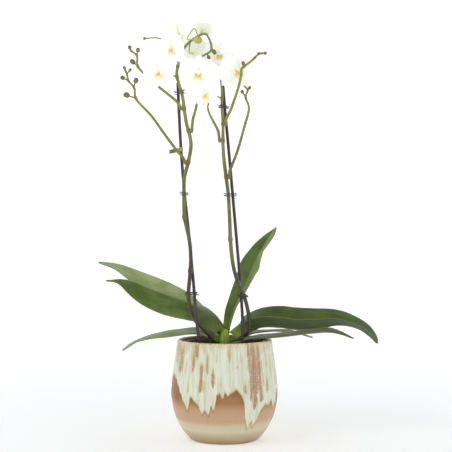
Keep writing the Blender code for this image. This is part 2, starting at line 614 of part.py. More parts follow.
def clip(name, stake_route, spike_route, height, shade):
    """A band that holds a spike to its stake."""
    post = at_height(stake_route, height)[0]
    shoot = at_height(spike_route, height)[0]
    gap = (shoot - post).xy
    reach = max(STAKE_RADIUS, SPIKE_RADIUS) + CLIP_GAP + CLIP_WALL / 2
    heading = math.atan2(gap.y, gap.x)
    lean = (at_height(spike_route, height + CLIP_HEIGHT)[0] - shoot).normalized() * CLIP_HEIGHT
    work = bmesh.new()
    loop = []
    for centre, start in ((shoot, -90), (post, 90)):
        for turn in range(0, 181, 30):
            angle = heading + math.radians(start + turn)
            corner = Vector((centre.x + reach * math.cos(angle),
                             centre.y + reach * math.sin(angle), POT_HEIGHT + height))
            loop.append(work.verts.new(corner - lean / 2))
    edges = [work.edges.new((a, b)) for a, b in zip(loop, loop[1:] + loop[:1])]
    raised = bmesh.ops.extrude_edge_only(work, edges=edges)
    tops = [item for item in raised["geom"] if isinstance(item, bmesh.types.BMVert)]
    bmesh.ops.translate(work, verts=tops, vec=lean)
    bmesh.ops.recalc_face_normals(work, faces=work.faces)
    mesh = bpy.data.meshes.new(name)
    work.to_mesh(mesh)
    work.free()
    band = add(name, mesh, shade)
    thickness = band.modifiers.new("thickness", "SOLIDIFY")
    thickness.thickness = CLIP_WALL
    thickness.offset = 0.0
    return band


def tape_flag(shade):
    """Tape folded round the left stake, its two ends stuck together as a flag."""
    post = at_height(LEFT_STAKE, TAPE_PLACE)[0]
    outer = STAKE_RADIUS + FIT_GAP + TAPE_THICKNESS
    work = bmesh.new()
    outline = []
    for turn in range(200, 521, 40):
        angle = math.radians(turn)
        outline.append((outer * math.cos(angle), outer * math.sin(angle)))
    outline += [(-outer - TAPE_FLAG, TAPE_THICKNESS), (-outer - TAPE_FLAG, -TAPE_THICKNESS)]
    corners = [work.verts.new((post.x + x, post.y + y, POT_HEIGHT + TAPE_PLACE - TAPE_WIDTH / 2))
               for x, y in outline]
    face = work.faces.new(corners)
    raised = bmesh.ops.extrude_face_region(work, geom=[face])
    tops = [item for item in raised["geom"] if isinstance(item, bmesh.types.BMVert)]
    bmesh.ops.translate(work, verts=tops, vec=(0, 0, TAPE_WIDTH))
    bmesh.ops.recalc_face_normals(work, faces=work.faces)
    mesh = bpy.data.meshes.new("tape_flag")
    work.to_mesh(mesh)
    work.free()
    flag = add("tape_flag", mesh, shade, smooth=False)
    boolean(flag, stake("tape_bore", LEFT_STAKE, shade, FIT_GAP), "DIFFERENCE")
    return flag


# ---- the whole plant ----------------------------------------------------------------------
CROWN = [(0.0, 0.0040, CROWN_BOTTOM), (0.0, 0.0040, -0.020), (0.0, 0.0040, CROWN_TOP)]


def crown(name, shade, extra=0.0):
    """The short upright stem that the leaves and spikes grow from."""
    foot, top = Vector(CROWN[0]), Vector(CROWN[-1])
    points = smooth_route([above_rim(p) for p in (foot - Vector((0, 0, extra)), CROWN[1],
                                                  top + Vector((0, 0, extra)))], 2)
    radius = CROWN_RADIUS + extra
    return add(name, tube_mesh(points, [radius] * len(points), 3), shade)


def root(name, route, shade, extra=0.0):
    """A thick aerial root lying on the bark, its route drawn in with a narrower pot."""
    reach = NURSERY_INNER / ROOT_SPREAD
    points = smooth_route([Vector((x * reach, y * reach, z)) for x, y, z in route], 3)
    points[0] += (points[0] - points[1]).normalized() * extra
    points[-1] += (points[-1] - points[-2]).normalized() * extra
    radius = ROOT_RADIUS + extra
    return add(name, tube_mesh([above_rim(p) for p in points], [radius] * len(points)), shade)


def build():
    """Model every piece of the potted orchid."""
    clear_scene()
    glaze = material("glaze", (0.62, 0.52, 0.38), 0.35)
    clear = material("clear_plastic", (0.85, 0.87, 0.85), 0.15)
    bark = material("bark", (0.10, 0.055, 0.03), 0.9)
    green = material("stem_green", (0.16, 0.19, 0.05), 0.55)
    leaf_green = material("leaf_green", (0.07, 0.15, 0.03), 0.4)
    silver = material("root_silver", (0.45, 0.46, 0.38), 0.8)
    dark = material("stake_brown", (0.06, 0.04, 0.045), 0.5)
    lime = material("tape_lime", (0.35, 0.38, 0.10), 0.6)
    white = material("petal_white", (0.90, 0.90, 0.86), 0.6)
    yellow = material("lip_yellow", (0.80, 0.65, 0.25), 0.6)

    ceramic_pot(glaze)
    nursery_pot(clear)
    bark_medium(bark, [
        stake("left_stake_bore", LEFT_STAKE, dark, FIT_GAP),
        stake("right_stake_bore", RIGHT_STAKE, dark, FIT_GAP),
        crown("crown_bore", green, FIT_GAP),
        root("left_root_bore", ROOTS["left"], silver, FIT_GAP),
        root("right_root_bore", ROOTS["right"], silver, FIT_GAP)])
    crown("crown", green)
    for side, route in ROOTS.items():
        root(f"root_{side}", route, silver)
    for name in LEAVES:
        leaf(name, leaf_green)
    stake("left_stake", LEFT_STAKE, dark)
    stake("right_stake", RIGHT_STAKE, dark)
    stems(green)
    for side, (post, shoot, heights) in CLIP_HEIGHTS.items():
        for place, height in heights.items():
            clip(f"{side}_clip_{place}", post, shoot, height, dark)
    tape_flag(lime)
    for name in FLOWERS:
        flower(name, white, yellow)


build()
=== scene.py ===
"""Potted moth orchid: the finished plant and cachepot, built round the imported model."""

import math
import random

import bmesh
import bpy
from mathutils import Matrix, Vector, noise


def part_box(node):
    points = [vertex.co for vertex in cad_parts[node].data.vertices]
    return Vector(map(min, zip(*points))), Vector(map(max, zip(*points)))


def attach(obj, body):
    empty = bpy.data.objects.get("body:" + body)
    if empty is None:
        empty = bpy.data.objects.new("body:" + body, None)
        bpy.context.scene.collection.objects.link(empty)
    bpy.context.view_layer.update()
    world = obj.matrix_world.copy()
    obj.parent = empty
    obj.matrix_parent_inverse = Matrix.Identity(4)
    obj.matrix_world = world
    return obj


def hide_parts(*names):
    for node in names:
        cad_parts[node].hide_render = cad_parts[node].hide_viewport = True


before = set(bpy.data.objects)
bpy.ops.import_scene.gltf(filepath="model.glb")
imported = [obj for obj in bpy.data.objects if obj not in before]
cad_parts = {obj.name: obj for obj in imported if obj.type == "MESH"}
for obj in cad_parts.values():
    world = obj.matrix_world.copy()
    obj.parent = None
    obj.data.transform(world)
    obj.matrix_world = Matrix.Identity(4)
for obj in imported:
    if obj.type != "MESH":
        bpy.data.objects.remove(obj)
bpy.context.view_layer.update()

MM = 0.001
MERGE = 1e-6
WHITE = (1.0, 1.0, 1.0, 1.0)
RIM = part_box("ceramic_pot")[1].z

# ---- cachepot ---------------------------------------------------------------------
POT_RIM_RADIUS = 0.0655
POT_BELLY_RADIUS = 0.0735
POT_BASE_RADIUS = 0.0465
POT_WALL = 0.005
POT_FLOOR = 0.006
POT_OUTLINE = [
    (0.00, "base", 0.00), (0.03, "base", 0.14), (0.10, "base", 0.44), (0.19, "base", 0.70),
    (0.28, "base", 0.87), (0.38, "base", 0.97), (0.48, "base", 1.00), (0.60, "rim", 0.85),
    (0.72, "rim", 0.60), (0.84, "rim", 0.33), (0.94, "rim", 0.10), (1.00, "rim", 0.00),
]
POT_TURNS = 360
GLAZE_RELIEF = 0.00045

# Lower edge of the pale glaze round the front: (degrees from the front, + to the right;
# millimetres above the base).
GLAZE_EDGE = [
    (-74, 92), (-65, 87), (-59, 78), (-53, 68), (-48, 56), (-43, 47), (-38, 66), (-33, 60),
    (-29, 56), (-25, 44), (-21, 48), (-17, 43), (-14, 55), (-11, 49), (-9, 62), (-8, 70),
    (-5, 72), (-2, 66), (1, 74), (3, 69), (8, 74), (12, 77), (16, 74), (19, 66), (21, 60),
    (23, 37), (26, 27), (28, 22), (31, 34), (34, 25), (38, 33), (41, 44), (44, 49), (48, 55),
    (53, 52), (59, 59), (64, 48), (69, 53),
]
# Brown runs in the glaze: (degrees, half width in degrees, top and bottom in mm, strength).
GLAZE_RUNS = [
    (29.5, 2.4, 141, 62, 0.75), (34.0, 3.4, 146, 52, 0.95), (38.4, 1.6, 128, 70, 0.70),
    (41.8, 2.4, 140, 58, 0.90), (46.0, 1.2, 120, 78, 0.55), (-33.5, 2.6, 146, 118, 0.80),
    (-36.5, 1.8, 128, 98, 0.70), (-26.5, 2.0, 113, 72, 1.10), (-19.5, 1.8, 122, 100, 0.75),
    (-12.5, 1.7, 106, 80, 0.95), (5.6, 1.1, 131, 112, 0.75), (22.0, 1.7, 88, 70, 0.85),
    (52.5, 1.8, 92, 70, 0.75), (-42.0, 1.6, 86, 72, 0.60), (-55.0, 2.5, 138, 112, 0.60),
    (54.0, 2.0, 134, 104, 0.50), (15.0, 1.2, 110, 104, 0.75), (9.0, 1.0, 106, 100, 0.65),
    (-22.0, 1.4, 92, 74, 0.50), (-4.0, 1.2, 94, 82, 0.45), (-8.5, 1.0, 128, 110, 0.45),
    (18.5, 1.0, 126, 112, 0.40), (-47.0, 1.4, 118, 96, 0.45), (63.0, 1.6, 120, 92, 0.50),
]

# Peach flushes below the rim, in the same form as the runs.
GLAZE_FLUSHES = [
    (-62.0, 7.0, 150, 118, 0.70), (-48.0, 6.0, 150, 124, 0.60), (-36.5, 4.5, 150, 106, 0.95),
    (-25.0, 5.0, 150, 124, 0.70), (-14.0, 5.0, 150, 127, 0.60), (-4.0, 4.0, 150, 130, 0.55),
    (5.6, 2.6, 150, 116, 0.75), (14.0, 3.5, 150, 130, 0.50), (23.0, 3.0, 150, 133, 0.50),
    (34.0, 8.0, 150, 100, 0.90), (50.0, 5.0, 150, 122, 0.55), (62.0, 6.0, 150, 126, 0.60),
]

# ---- grower's pot and bark ----------------------------------------------------------
NURSERY_RADIUS = 0.0595
NURSERY_WALL = 0.0012
NURSERY_TAPER = 0.86
NURSERY_TUCK = 0.018
NURSERY_KNEE = 0.024
NURSERY_BEAD = 0.0011
REST_GAP = 0.0003
NURSERY_TOP = RIM - 0.004
BARK_TOP = RIM - 0.013
CHIPS = 260
CHIP_SPREAD = 0.051

# ---- plant sizes ----------------------------------------------------------------------
SPIKE_RADIUS = 0.0027
BRANCH_RADIUS = 0.0020
SHOOT_RADIUS = 0.0012
JOINT_REACH = 0.0026
JOINT_SWELL = 0.32
SPIKE_SCALE = 0.0085
BRANCH_SCALE = 0.0052
SHOOT_SCALE = 0.0036
STEM_FULL = 0.90
STEM_FULL_SHARE = 0.62
STALK_REACH = 0.010
STAKE_RADIUS = 0.0021
ROOT_RADIUS = 0.0026
FINE_STEP = 0.0010
STAKE_STEP = 0.0030
LEAF_THICKNESS = 0.0018
LEAF_WAVE = 0.0011
LEAF_RIPPLE = 0.0004
LEAF_CLASP = 10
PETAL_THICKNESS = 0.0006
PETAL_RUFFLE = 0.00176
THIN_SHEET = 0.0004
FLOWER_LENGTH = 0.0265
CROWN_AXIS = (0.0, 0.0040)

# Routes are (x, y, height above the rim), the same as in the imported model.
LEFT_SPIKE = [
    (-0.0152, -0.0120, -0.0011), (-0.0254, -0.0180, 0.0123), (-0.0363, -0.0212, 0.0238),
    (-0.0430, -0.0228, 0.0342), (-0.0470, -0.0265, 0.0466), (-0.0492, -0.0325, 0.0631),
    (-0.0465, -0.0375, 0.0960), (-0.0457, -0.0385, 0.1142), (-0.0477, -0.0385, 0.1380),
    (-0.0541, -0.0385, 0.1692), (-0.0549, -0.0385, 0.2004), (-0.0544, -0.0380, 0.2221),
    (-0.0493, -0.0370, 0.2429), (-0.0456, -0.0370, 0.2637), (-0.0467, -0.0370, 0.2773),
    (-0.0524, -0.0370, 0.3001), (-0.0569, -0.0370, 0.3321), (-0.0612, -0.0380, 0.3476),
    (-0.0647, -0.0380, 0.3618), (-0.0631, -0.0360, 0.3755), (-0.0601, -0.0330, 0.3894),
    (-0.0552, -0.0290, 0.3995), (-0.0471, -0.0270, 0.4087), (-0.0362, -0.0270, 0.4162),
    (-0.0266, -0.0280, 0.4192), (-0.0211, -0.0300, 0.4123), (-0.0179, -0.0320, 0.4019),
    (-0.0193, -0.0340, 0.3942), (-0.0285, -0.0360, 0.3884), (-0.0346, -0.0370, 0.3842),
    (-0.0400, -0.0380, 0.3793),
]
RIGHT_SPIKE = [
    (0.0195, -0.0195, 0.0015), (0.0285, -0.0220, 0.0083), (0.0330, -0.0265, 0.0181),
    (0.0336, -0.0295, 0.0304), (0.0304, -0.0345, 0.0483), (0.0264, -0.0378, 0.0621),
    (0.0223, -0.0385, 0.0703), (0.0187, -0.0388, 0.0791), (0.0119, -0.0388, 0.1026),
    (0.0083, -0.0388, 0.1339), (0.0065, -0.0388, 0.1747), (0.0047, -0.0388, 0.2032),
    (-0.0004, -0.0388, 0.2430), (-0.0021, -0.0388, 0.2688), (-0.0021, -0.0388, 0.2948),
    (-0.0036, -0.0388, 0.3184), (-0.0034, -0.0370, 0.3413), (-0.0055, -0.0320, 0.3607),
    (-0.0041, -0.0260, 0.3747), (0.0013, -0.0190, 0.3850),
]
LEFT_STAKE = [
    (-0.0280, -0.0215, -0.0900), (-0.0353, -0.0262, 0.0000), (-0.0383, -0.0275, 0.0287),
    (-0.0421, -0.0300, 0.0767), (-0.0484, -0.0320, 0.1448), (-0.0543, -0.0320, 0.2005),
    (-0.0588, -0.0305, 0.2537), (-0.0620, -0.0305, 0.3110), (-0.0637, -0.0305, 0.3532),
]
RIGHT_STAKE = [
    (0.0246, -0.0250, -0.0900), (0.0246, -0.0280, 0.0000), (0.0246, -0.0295, 0.0268),
    (0.0216, -0.0315, 0.0767), (0.0166, -0.0320, 0.1363), (0.0110, -0.0320, 0.2005),
    (0.0058, -0.0320, 0.2588), (0.0005, -0.0315, 0.3161), (-0.0025, -0.0290, 0.3530),
]

# Heights above the rim of the nodes on each spike.
LEFT_NODES = (0.0275, 0.0964, 0.1678, 0.2435, 0.2860, 0.3165, 0.3590, 0.3735)
RIGHT_NODES = (0.0119, 0.0783, 0.1394, 0.2235, 0.2730, 0.2955, 0.3300, 0.3720)

# name: (spike, height where it leaves the spike, its route, its buds); a bud is its stalk's
# foot, the points its stalk passes, its tip, its radius and its length.
BRANCHES = {
    "left_branch_low": (LEFT_SPIKE, 0.2435, [
        (-0.0555, -0.0420, 0.2485), (-0.0600, -0.0440, 0.2540), (-0.0650, -0.0452, 0.2596),
        (-0.0800, -0.0470, 0.2796), (-0.0983, -0.0480, 0.3051), (-0.1186, -0.0480, 0.3273),
        (-0.1216, -0.0470, 0.3429), (-0.1295, -0.0460, 0.3525), (-0.1313, -0.0450, 0.3607),
        (-0.1345, -0.0440, 0.3683)], [
        ((-0.1195, -0.0478, 0.3290), (), (-0.1317, -0.0500, 0.3332), 0.0038, 0.0087),
        ((-0.1225, -0.0468, 0.3440), (), (-0.1193, -0.0470, 0.3529), 0.0034, 0.0078),
        ((-0.1297, -0.0459, 0.3530), (), (-0.1372, -0.0470, 0.3567), 0.0029, 0.0067),
        ((-0.1317, -0.0448, 0.3620), (), (-0.1275, -0.0440, 0.3676), 0.0021, 0.0048),
        ((-0.1340, -0.0442, 0.3670), (), (-0.1352, -0.0440, 0.3705), 0.0022, 0.0050)]),
    "left_branch_middle": (LEFT_SPIKE, 0.3165, [
        (-0.0615, -0.0405, 0.3211), (-0.0667, -0.0385, 0.3274), (-0.0771, -0.0320, 0.3364),
        (-0.0913, -0.0220, 0.3485), (-0.1049, -0.0140, 0.3607), (-0.1146, -0.0100, 0.3707),
        (-0.1204, -0.0100, 0.3787), (-0.1210, -0.0100, 0.3920), (-0.1292, -0.0100, 0.3990),
        (-0.1314, -0.0100, 0.4042)], [
        ((-0.1199, -0.0100, 0.3779), (), (-0.1269, -0.0100, 0.3837), 0.0035, 0.0085),
        ((-0.1211, -0.0100, 0.3925), (), (-0.1196, -0.0100, 0.3999), 0.0029, 0.0067),
        ((-0.1292, -0.0100, 0.3990), (), (-0.1310, -0.0100, 0.4036), 0.0025, 0.0058)]),
    "left_branch_right": (LEFT_SPIKE, 0.2860, [
        (-0.0436, -0.0400, 0.2945), (-0.0425, -0.0390, 0.3030), (-0.0400, -0.0360, 0.3120),
        (-0.0372, -0.0300, 0.3250), (-0.0352, -0.0270, 0.3380), (-0.0337, -0.0270, 0.3480),
        (-0.0332, -0.0300, 0.3560)], []),
    "right_branch_left": (RIGHT_SPIKE, 0.2730, [
        (-0.0085, -0.0400, 0.2850), (-0.0136, -0.0400, 0.2957), (-0.0205, -0.0400, 0.3090),
        (-0.0225, -0.0380, 0.3160)], [
        ((-0.0223, -0.0382, 0.3150), (), (-0.0232, -0.0345, 0.3225), 0.0024, 0.0056)]),
    "right_branch_upper": (RIGHT_SPIKE, 0.2955, [
        (0.0025, -0.0420, 0.3020), (0.0052, -0.0450, 0.3075), (0.0090, -0.0490, 0.3150),
        (0.0182, -0.0560, 0.3411), (0.0223, -0.0580, 0.3588), (0.0235, -0.0570, 0.3678),
        (0.0353, -0.0530, 0.3778), (0.0458, -0.0490, 0.3879), (0.0544, -0.0460, 0.3900)], [
        ((0.0260, -0.0560, 0.3700), (), (0.0250, -0.0555, 0.3750), 0.0025, 0.0058),
        ((0.0410, -0.0510, 0.3830), (), (0.0460, -0.0485, 0.3890), 0.0022, 0.0050),
        ((0.0500, -0.0475, 0.3890), (), (0.0548, -0.0458, 0.3901), 0.0022, 0.0050)]),
    "right_branch_lower": (RIGHT_SPIKE, 0.2235, [
        (0.0070, -0.0415, 0.2310), (0.0105, -0.0430, 0.2400), (0.0181, -0.0440, 0.2602),
        (0.0263, -0.0440, 0.2892), (0.0330, -0.0430, 0.3154), (0.0285, -0.0420, 0.3311),
        (0.0313, -0.0410, 0.3407), (0.0262, -0.0400, 0.3470)], [
        ((0.0290, -0.0420, 0.3300), (), (0.0240, -0.0420, 0.3385), 0.0024, 0.0055),
        ((0.0310, -0.0411, 0.3400), (), (0.0340, -0.0400, 0.3440), 0.0022, 0.0050)]),
}
LEFT_BUDS = [
    ((-0.0180, -0.0325, 0.4000), (), (-0.0140, -0.0330, 0.3935), 0.0030, 0.0075),
    ((-0.0240, -0.0350, 0.3912), (), (-0.0215, -0.0360, 0.3860), 0.0026, 0.0060),
    ((-0.0362, -0.0275, 0.4162), ((-0.0410, -0.0330, 0.4255), (-0.0477, -0.0355, 0.4170),
                                  (-0.0503, -0.0360, 0.4105)),
     (-0.0362, -0.0360, 0.4096), 0.0052, 0.0120),
    ((-0.0352, -0.0371, 0.3838), (), (-0.0405, -0.0381, 0.3788), 0.0024, 0.0055),
    ((-0.0552, -0.0290, 0.3995), ((-0.0620, -0.0120, 0.4050), (-0.0760, 0.0020, 0.4120),
                                  (-0.0899, 0.0040, 0.4180), (-0.0990, 0.0040, 0.4192)),
     (-0.1114, 0.0040, 0.4182), 0.0020, 0.0050),
]

# name: (place above the rim, turn, nod, roll, size); turn 0 looks at -Y and + looks to +X.
FLOWERS = {
    "left_front": ((-0.0682, -0.0680, 0.3918), -42, 6, 0, 0.92),
    "left_low": ((-0.0880, -0.0360, 0.3650), -34, 10, 8, 0.98),
    "centre": ((-0.0352, -0.0740, 0.3579), 4, 8, -4, 1.00),
    "centre_low": ((-0.0240, -0.0495, 0.3335), -45, 16, 6, 0.84),
    "right": ((0.0180, -0.0392, 0.3663), 15, 6, 0, 1.10),
    "left_back": ((-0.0640, -0.0150, 0.4200), -15, 0, 0, 0.90),
    "middle_back": ((-0.0440, -0.0020, 0.3960), 150, 4, 0, 0.95),
    "right_back": ((-0.0090, -0.0120, 0.3920), 20, 0, 0, 0.90),
    "top": ((-0.0303, -0.0200, 0.4258), 150, -50, 0, 0.50),
}
# Where each flower's stalk leaves the piece it grows on, and the points it passes.
STALKS = {
    "left_spike": {
        "left_low": [(-0.0640, -0.0378, 0.3590)], "left_front": [(-0.0635, -0.0363, 0.3735)],
        "left_back": [(-0.0720, -0.0010, 0.4105)], "middle_back": [(-0.0471, -0.0270, 0.4087)],
        "top": [(-0.0290, -0.0278, 0.4185)]},
    "right_spike": {
        "centre_low": [(-0.0040, -0.0375, 0.3300)], "right": [(-0.0050, -0.0300, 0.3650)],
        "right_back": [(-0.0041, -0.0260, 0.3747), (-0.0060, -0.0110, 0.3760),
                       (-0.0105, -0.0010, 0.3840)]},
    "left_branch_right": {"centre": [(-0.0332, -0.0300, 0.3555)]},
}

# How green the back of each flower is, where it isn't white.
GREENNESS = {"left_back": 0.10, "middle_back": 0.15, "top": 0.40}

# name: (midrib above the rim, half width, near-half tilts, far-half tilts, share of the
# width at the base, how slowly it widens); tilts are degrees from level at the base, the
# middle and the tip, and below 0 they hang down.
LEAVES = {
    "left_upper": (
        [(-0.0100, 0.0030, 0.0110), (-0.0165, 0.0040, 0.0235), (-0.0300, 0.0060, 0.0388),
         (-0.0495, 0.0090, 0.0492), (-0.0699, 0.0120, 0.0569), (-0.0985, 0.0160, 0.0664),
         (-0.1270, 0.0200, 0.0776), (-0.1469, 0.0220, 0.0822), (-0.1663, 0.0230, 0.0805)],
        0.0290, (-20, -62, -20), (20, -6, -4), 0.50, 0.6),
    "left_back": (
        [(-0.0084, 0.0098, 0.0060), (-0.0249, 0.0300, 0.0225), (-0.0509, 0.0440, 0.0415),
         (-0.0743, 0.0560, 0.0580), (-0.1009, 0.0660, 0.0715), (-0.1306, 0.0760, 0.0850),
         (-0.1576, 0.0830, 0.0975), (-0.1850, 0.0880, 0.1045)],
        0.0240, (15, -28, -8), (25, 22, 6), 0.40, 0.9),
    "left_low": (
        [(-0.0104, 0.0060, -0.0040), (-0.0250, 0.0130, 0.0045), (-0.0420, 0.0200, 0.0092),
         (-0.0645, 0.0280, 0.0092), (-0.0903, 0.0340, 0.0056), (-0.1135, 0.0400, -0.0012),
         (-0.1309, 0.0440, -0.0096), (-0.1466, 0.0460, -0.0205)],
        0.0215, (8, -14, -8), (18, 4, 4), 0.40, 0.8),
    "right_upright": (
        [(0.0025, 0.0175, 0.0040), (0.0040, 0.0245, 0.0140), (0.0100, 0.0340, 0.0330),
         (0.0215, 0.0440, 0.0560), (0.0351, 0.0560, 0.0850), (0.0410, 0.0618, 0.0990),
         (0.0470, 0.0665, 0.1120), (0.0540, 0.0705, 0.1240), (0.0612, 0.0745, 0.1352),
         (0.0682, 0.0783, 0.1455), (0.0752, 0.0820, 0.1555)],
        0.0225, (42, 20, 6), (42, 20, 6), 0.24, 2.4),
    "right_upper": (
        [(0.0100, 0.0030, 0.0090), (0.0155, 0.0040, 0.0155), (0.0271, 0.0060, 0.0225),
         (0.0397, 0.0090, 0.0280), (0.0566, 0.0110, 0.0302), (0.0790, 0.0120, 0.0290),
         (0.0986, 0.0120, 0.0262), (0.1266, 0.0120, 0.0262), (0.1545, 0.0110, 0.0275),
         (0.1738, 0.0080, 0.0240), (0.1929, 0.0040, 0.0163), (0.2063, 0.0000, 0.0042),
         (0.2118, -0.0020, -0.0054)],
        0.0290, (-36, -22, -6), (-14, 34, 8), 0.55, 0.7),
    "right_low": (
        [(0.0092, 0.0010, -0.0070), (0.0201, 0.0000, -0.0030), (0.0422, -0.0030, 0.0040),
         (0.0643, -0.0060, 0.0070), (0.0973, -0.0090, 0.0108), (0.1247, -0.0120, 0.0138),
         (0.1466, -0.0140, 0.0146), (0.1630, -0.0150, 0.0105), (0.1780, -0.0160, 0.0030)],
        0.0190, (4, -10, -6), (6, 2, 0), 0.45, 0.9),
    "right_back": (
        [(0.0070, 0.0130, -0.0040), (0.0360, 0.0340, 0.0065), (0.0720, 0.0500, 0.0070),
         (0.1028, 0.0600, 0.0040), (0.1279, 0.0660, -0.0035)],
        0.0150, (4, 2, 0), (12, 4, 2), 0.40, 0.9),
}
# How much painted light and shade each leaf's far and near halves get (above 0 a paler
# painted sheen and reflection, below 0 a darker painted shade), how red its base is, and how deep its edges
# bow down.
LEAF_LOOKS = {
    "left_upper": (0.25, 0.25, 0.75, 12), "left_back": (0.85, 0.80, 0.1, 10),
    "left_low": (0.65, 0.60, 0.2, 12), "right_upright": (0.22, 0.48, 0.0, 10),
    "right_upper": (0.05, -0.40, 0.2, 14), "right_low": (-0.05, -0.15, 0.2, 10),
    "right_back": (0.30, 0.30, 0.1, 8),
}
ROOTS = {
    "left": [(-0.0130, 0.0100, -0.0100), (-0.0300, 0.0050, -0.0095),
             (-0.0450, -0.0080, -0.0100), (-0.0475, -0.0230, -0.0180)],
    "right": [(0.0110, 0.0100, -0.0100), (0.0270, 0.0100, -0.0095),
              (0.0420, -0.0020, -0.0100), (0.0470, -0.0200, -0.0180)],
}
CLIP_HEIGHTS = {
    "left": (LEFT_STAKE, LEFT_SPIKE, {"low": 0.0651, "middle": 0.2005, "high": 0.3386}),
    "right": (RIGHT_STAKE, RIGHT_SPIKE, {"low": 0.0619, "middle": 0.1992, "high": 0.3189}),
}
CLIP_HOOP = SPIKE_RADIUS + 0.0009
CLIP_WIRE = 0.00055
CLIP_RISE = 0.0013
CLIP_GRIP = 0.0024
TAPE_HEIGHT = 0.2611
TAPE_TAIL = 0.0140
TAPE_WIDTH = 0.0055


# ---- finishes -----------------------------------------------------------------------------
def paint(red, green, blue):
    """A shader colour from everyday 0 to 255 values."""
    parts = [value / 255 for value in (red, green, blue)]
    return [p / 12.92 if p <= 0.04 else ((p + 0.055) / 1.055) ** 2.4 for p in parts] + [1.0]


class Finish:
    """A Principled material with the nodes that feed it."""

    def __init__(self, name, roughness, **settings):
        self.material = bpy.data.materials.new(name)
        self.material.use_nodes = True
        self.tree = self.material.node_tree
        self.shader = self.tree.nodes["Principled BSDF"]
        self.shader.inputs["Roughness"].default_value = roughness
        for label, value in settings.items():
            self.shader.inputs[label.replace("_", " ")].default_value = value
        self.place = self.node("TexCoord").outputs["Object"]

    def node(self, kind, **settings):
        made = self.tree.nodes.new("ShaderNode" + kind)
        for label, value in settings.items():
            setattr(made, label, value)
        return made

    def plug(self, source, socket):
        """Link a socket, or set its value; three numbers in brackets are a 0 to 255 colour."""
        if isinstance(source, bpy.types.NodeSocket):
            self.tree.links.new(source, socket)
        elif isinstance(source, tuple):
            socket.default_value = paint(*source)
        else:
            socket.default_value = source

    def stretched(self, scale, source=None):
        made = self.node("Mapping")
        self.plug(source or self.place, made.inputs["Vector"])
        made.inputs["Scale"].default_value = scale
        return made.outputs["Vector"]

    def noise(self, scale, detail=3.0, roughness=0.55, source=None, warp=0.0):
        made = self.node("TexNoise")
        self.plug(source or self.place, made.inputs["Vector"])
        made.inputs["Scale"].default_value = scale
        made.inputs["Detail"].default_value = detail
        made.inputs["Roughness"].default_value = roughness
        made.inputs["Distortion"].default_value = warp
        return made.outputs["Fac"]

    def attribute(self, name):
        return self.node("Attribute", attribute_name=name).outputs["Fac"]

    def strip(self):
        """The piece's own UV map: along and across."""
        split = self.node("SeparateXYZ")
        self.plug(self.node("UVMap", uv_map="strip").outputs["UV"], split.inputs["Vector"])
        return split.outputs["X"], split.outputs["Y"]

    def axes(self, source=None):
        split = self.node("SeparateXYZ")
        self.plug(source or self.place, split.inputs["Vector"])
        return split.outputs

    def calc(self, operation, first, second=0.0):
        made = self.node("Math", operation=operation)
        self.plug(first, made.inputs[0])
        self.plug(second, made.inputs[1])
        return made.outputs["Value"]

    def fade(self, value, low, high, start=0.0, end=1.0):
        """A smooth step from start to end as value goes from low to high."""
        made = self.node("MapRange", interpolation_type="SMOOTHSTEP")
        self.plug(value, made.inputs["Value"])
        for label, number in (("From Min", low), ("From Max", high), ("To Min", start), ("To Max", end)):
            made.inputs[label].default_value = number
        return made.outputs["Result"]

    def mix(self, share, first, second):
        made = self.node("Mix", data_type="RGBA")
        self.plug(share, made.inputs["Factor"])
        self.plug(first, made.inputs[6])
        self.plug(second, made.inputs[7])
        return made.outputs[2]

    def blend(self, value, low, high, first, second):
        """One colour turning into another as value goes from low to high."""
        return self.mix(self.fade(value, low, high), first, second)

    def mottled(self, value, first, second):
        """Two colours in about equal parts."""
        return self.blend(value, 0.35, 0.65, first, second)

    def ramp(self, value, stops):
        made = self.node("ValToRGB")
        self.plug(value, made.inputs["Fac"])
        bands = made.color_ramp.elements
        for at, colour in stops[2:]:
            bands.new(at)
        for band, (at, colour) in zip(bands, stops):
            band.position = at
            band.color = paint(*colour)
        return made.outputs["Color"]

    def finish(self, colour, roughness=None, height=None, distance=0.0003, strength=1.0):
        self.plug(colour, self.shader.inputs["Base Color"])
        if roughness is not None:
            self.plug(roughness, self.shader.inputs["Roughness"])
        if height is not None:
            made = self.node("Bump")
            made.inputs["Strength"].default_value = strength
            made.inputs["Distance"].default_value = distance
            self.plug(height, made.inputs["Height"])
            self.plug(made.outputs["Normal"], self.shader.inputs["Normal"])
        return self.material


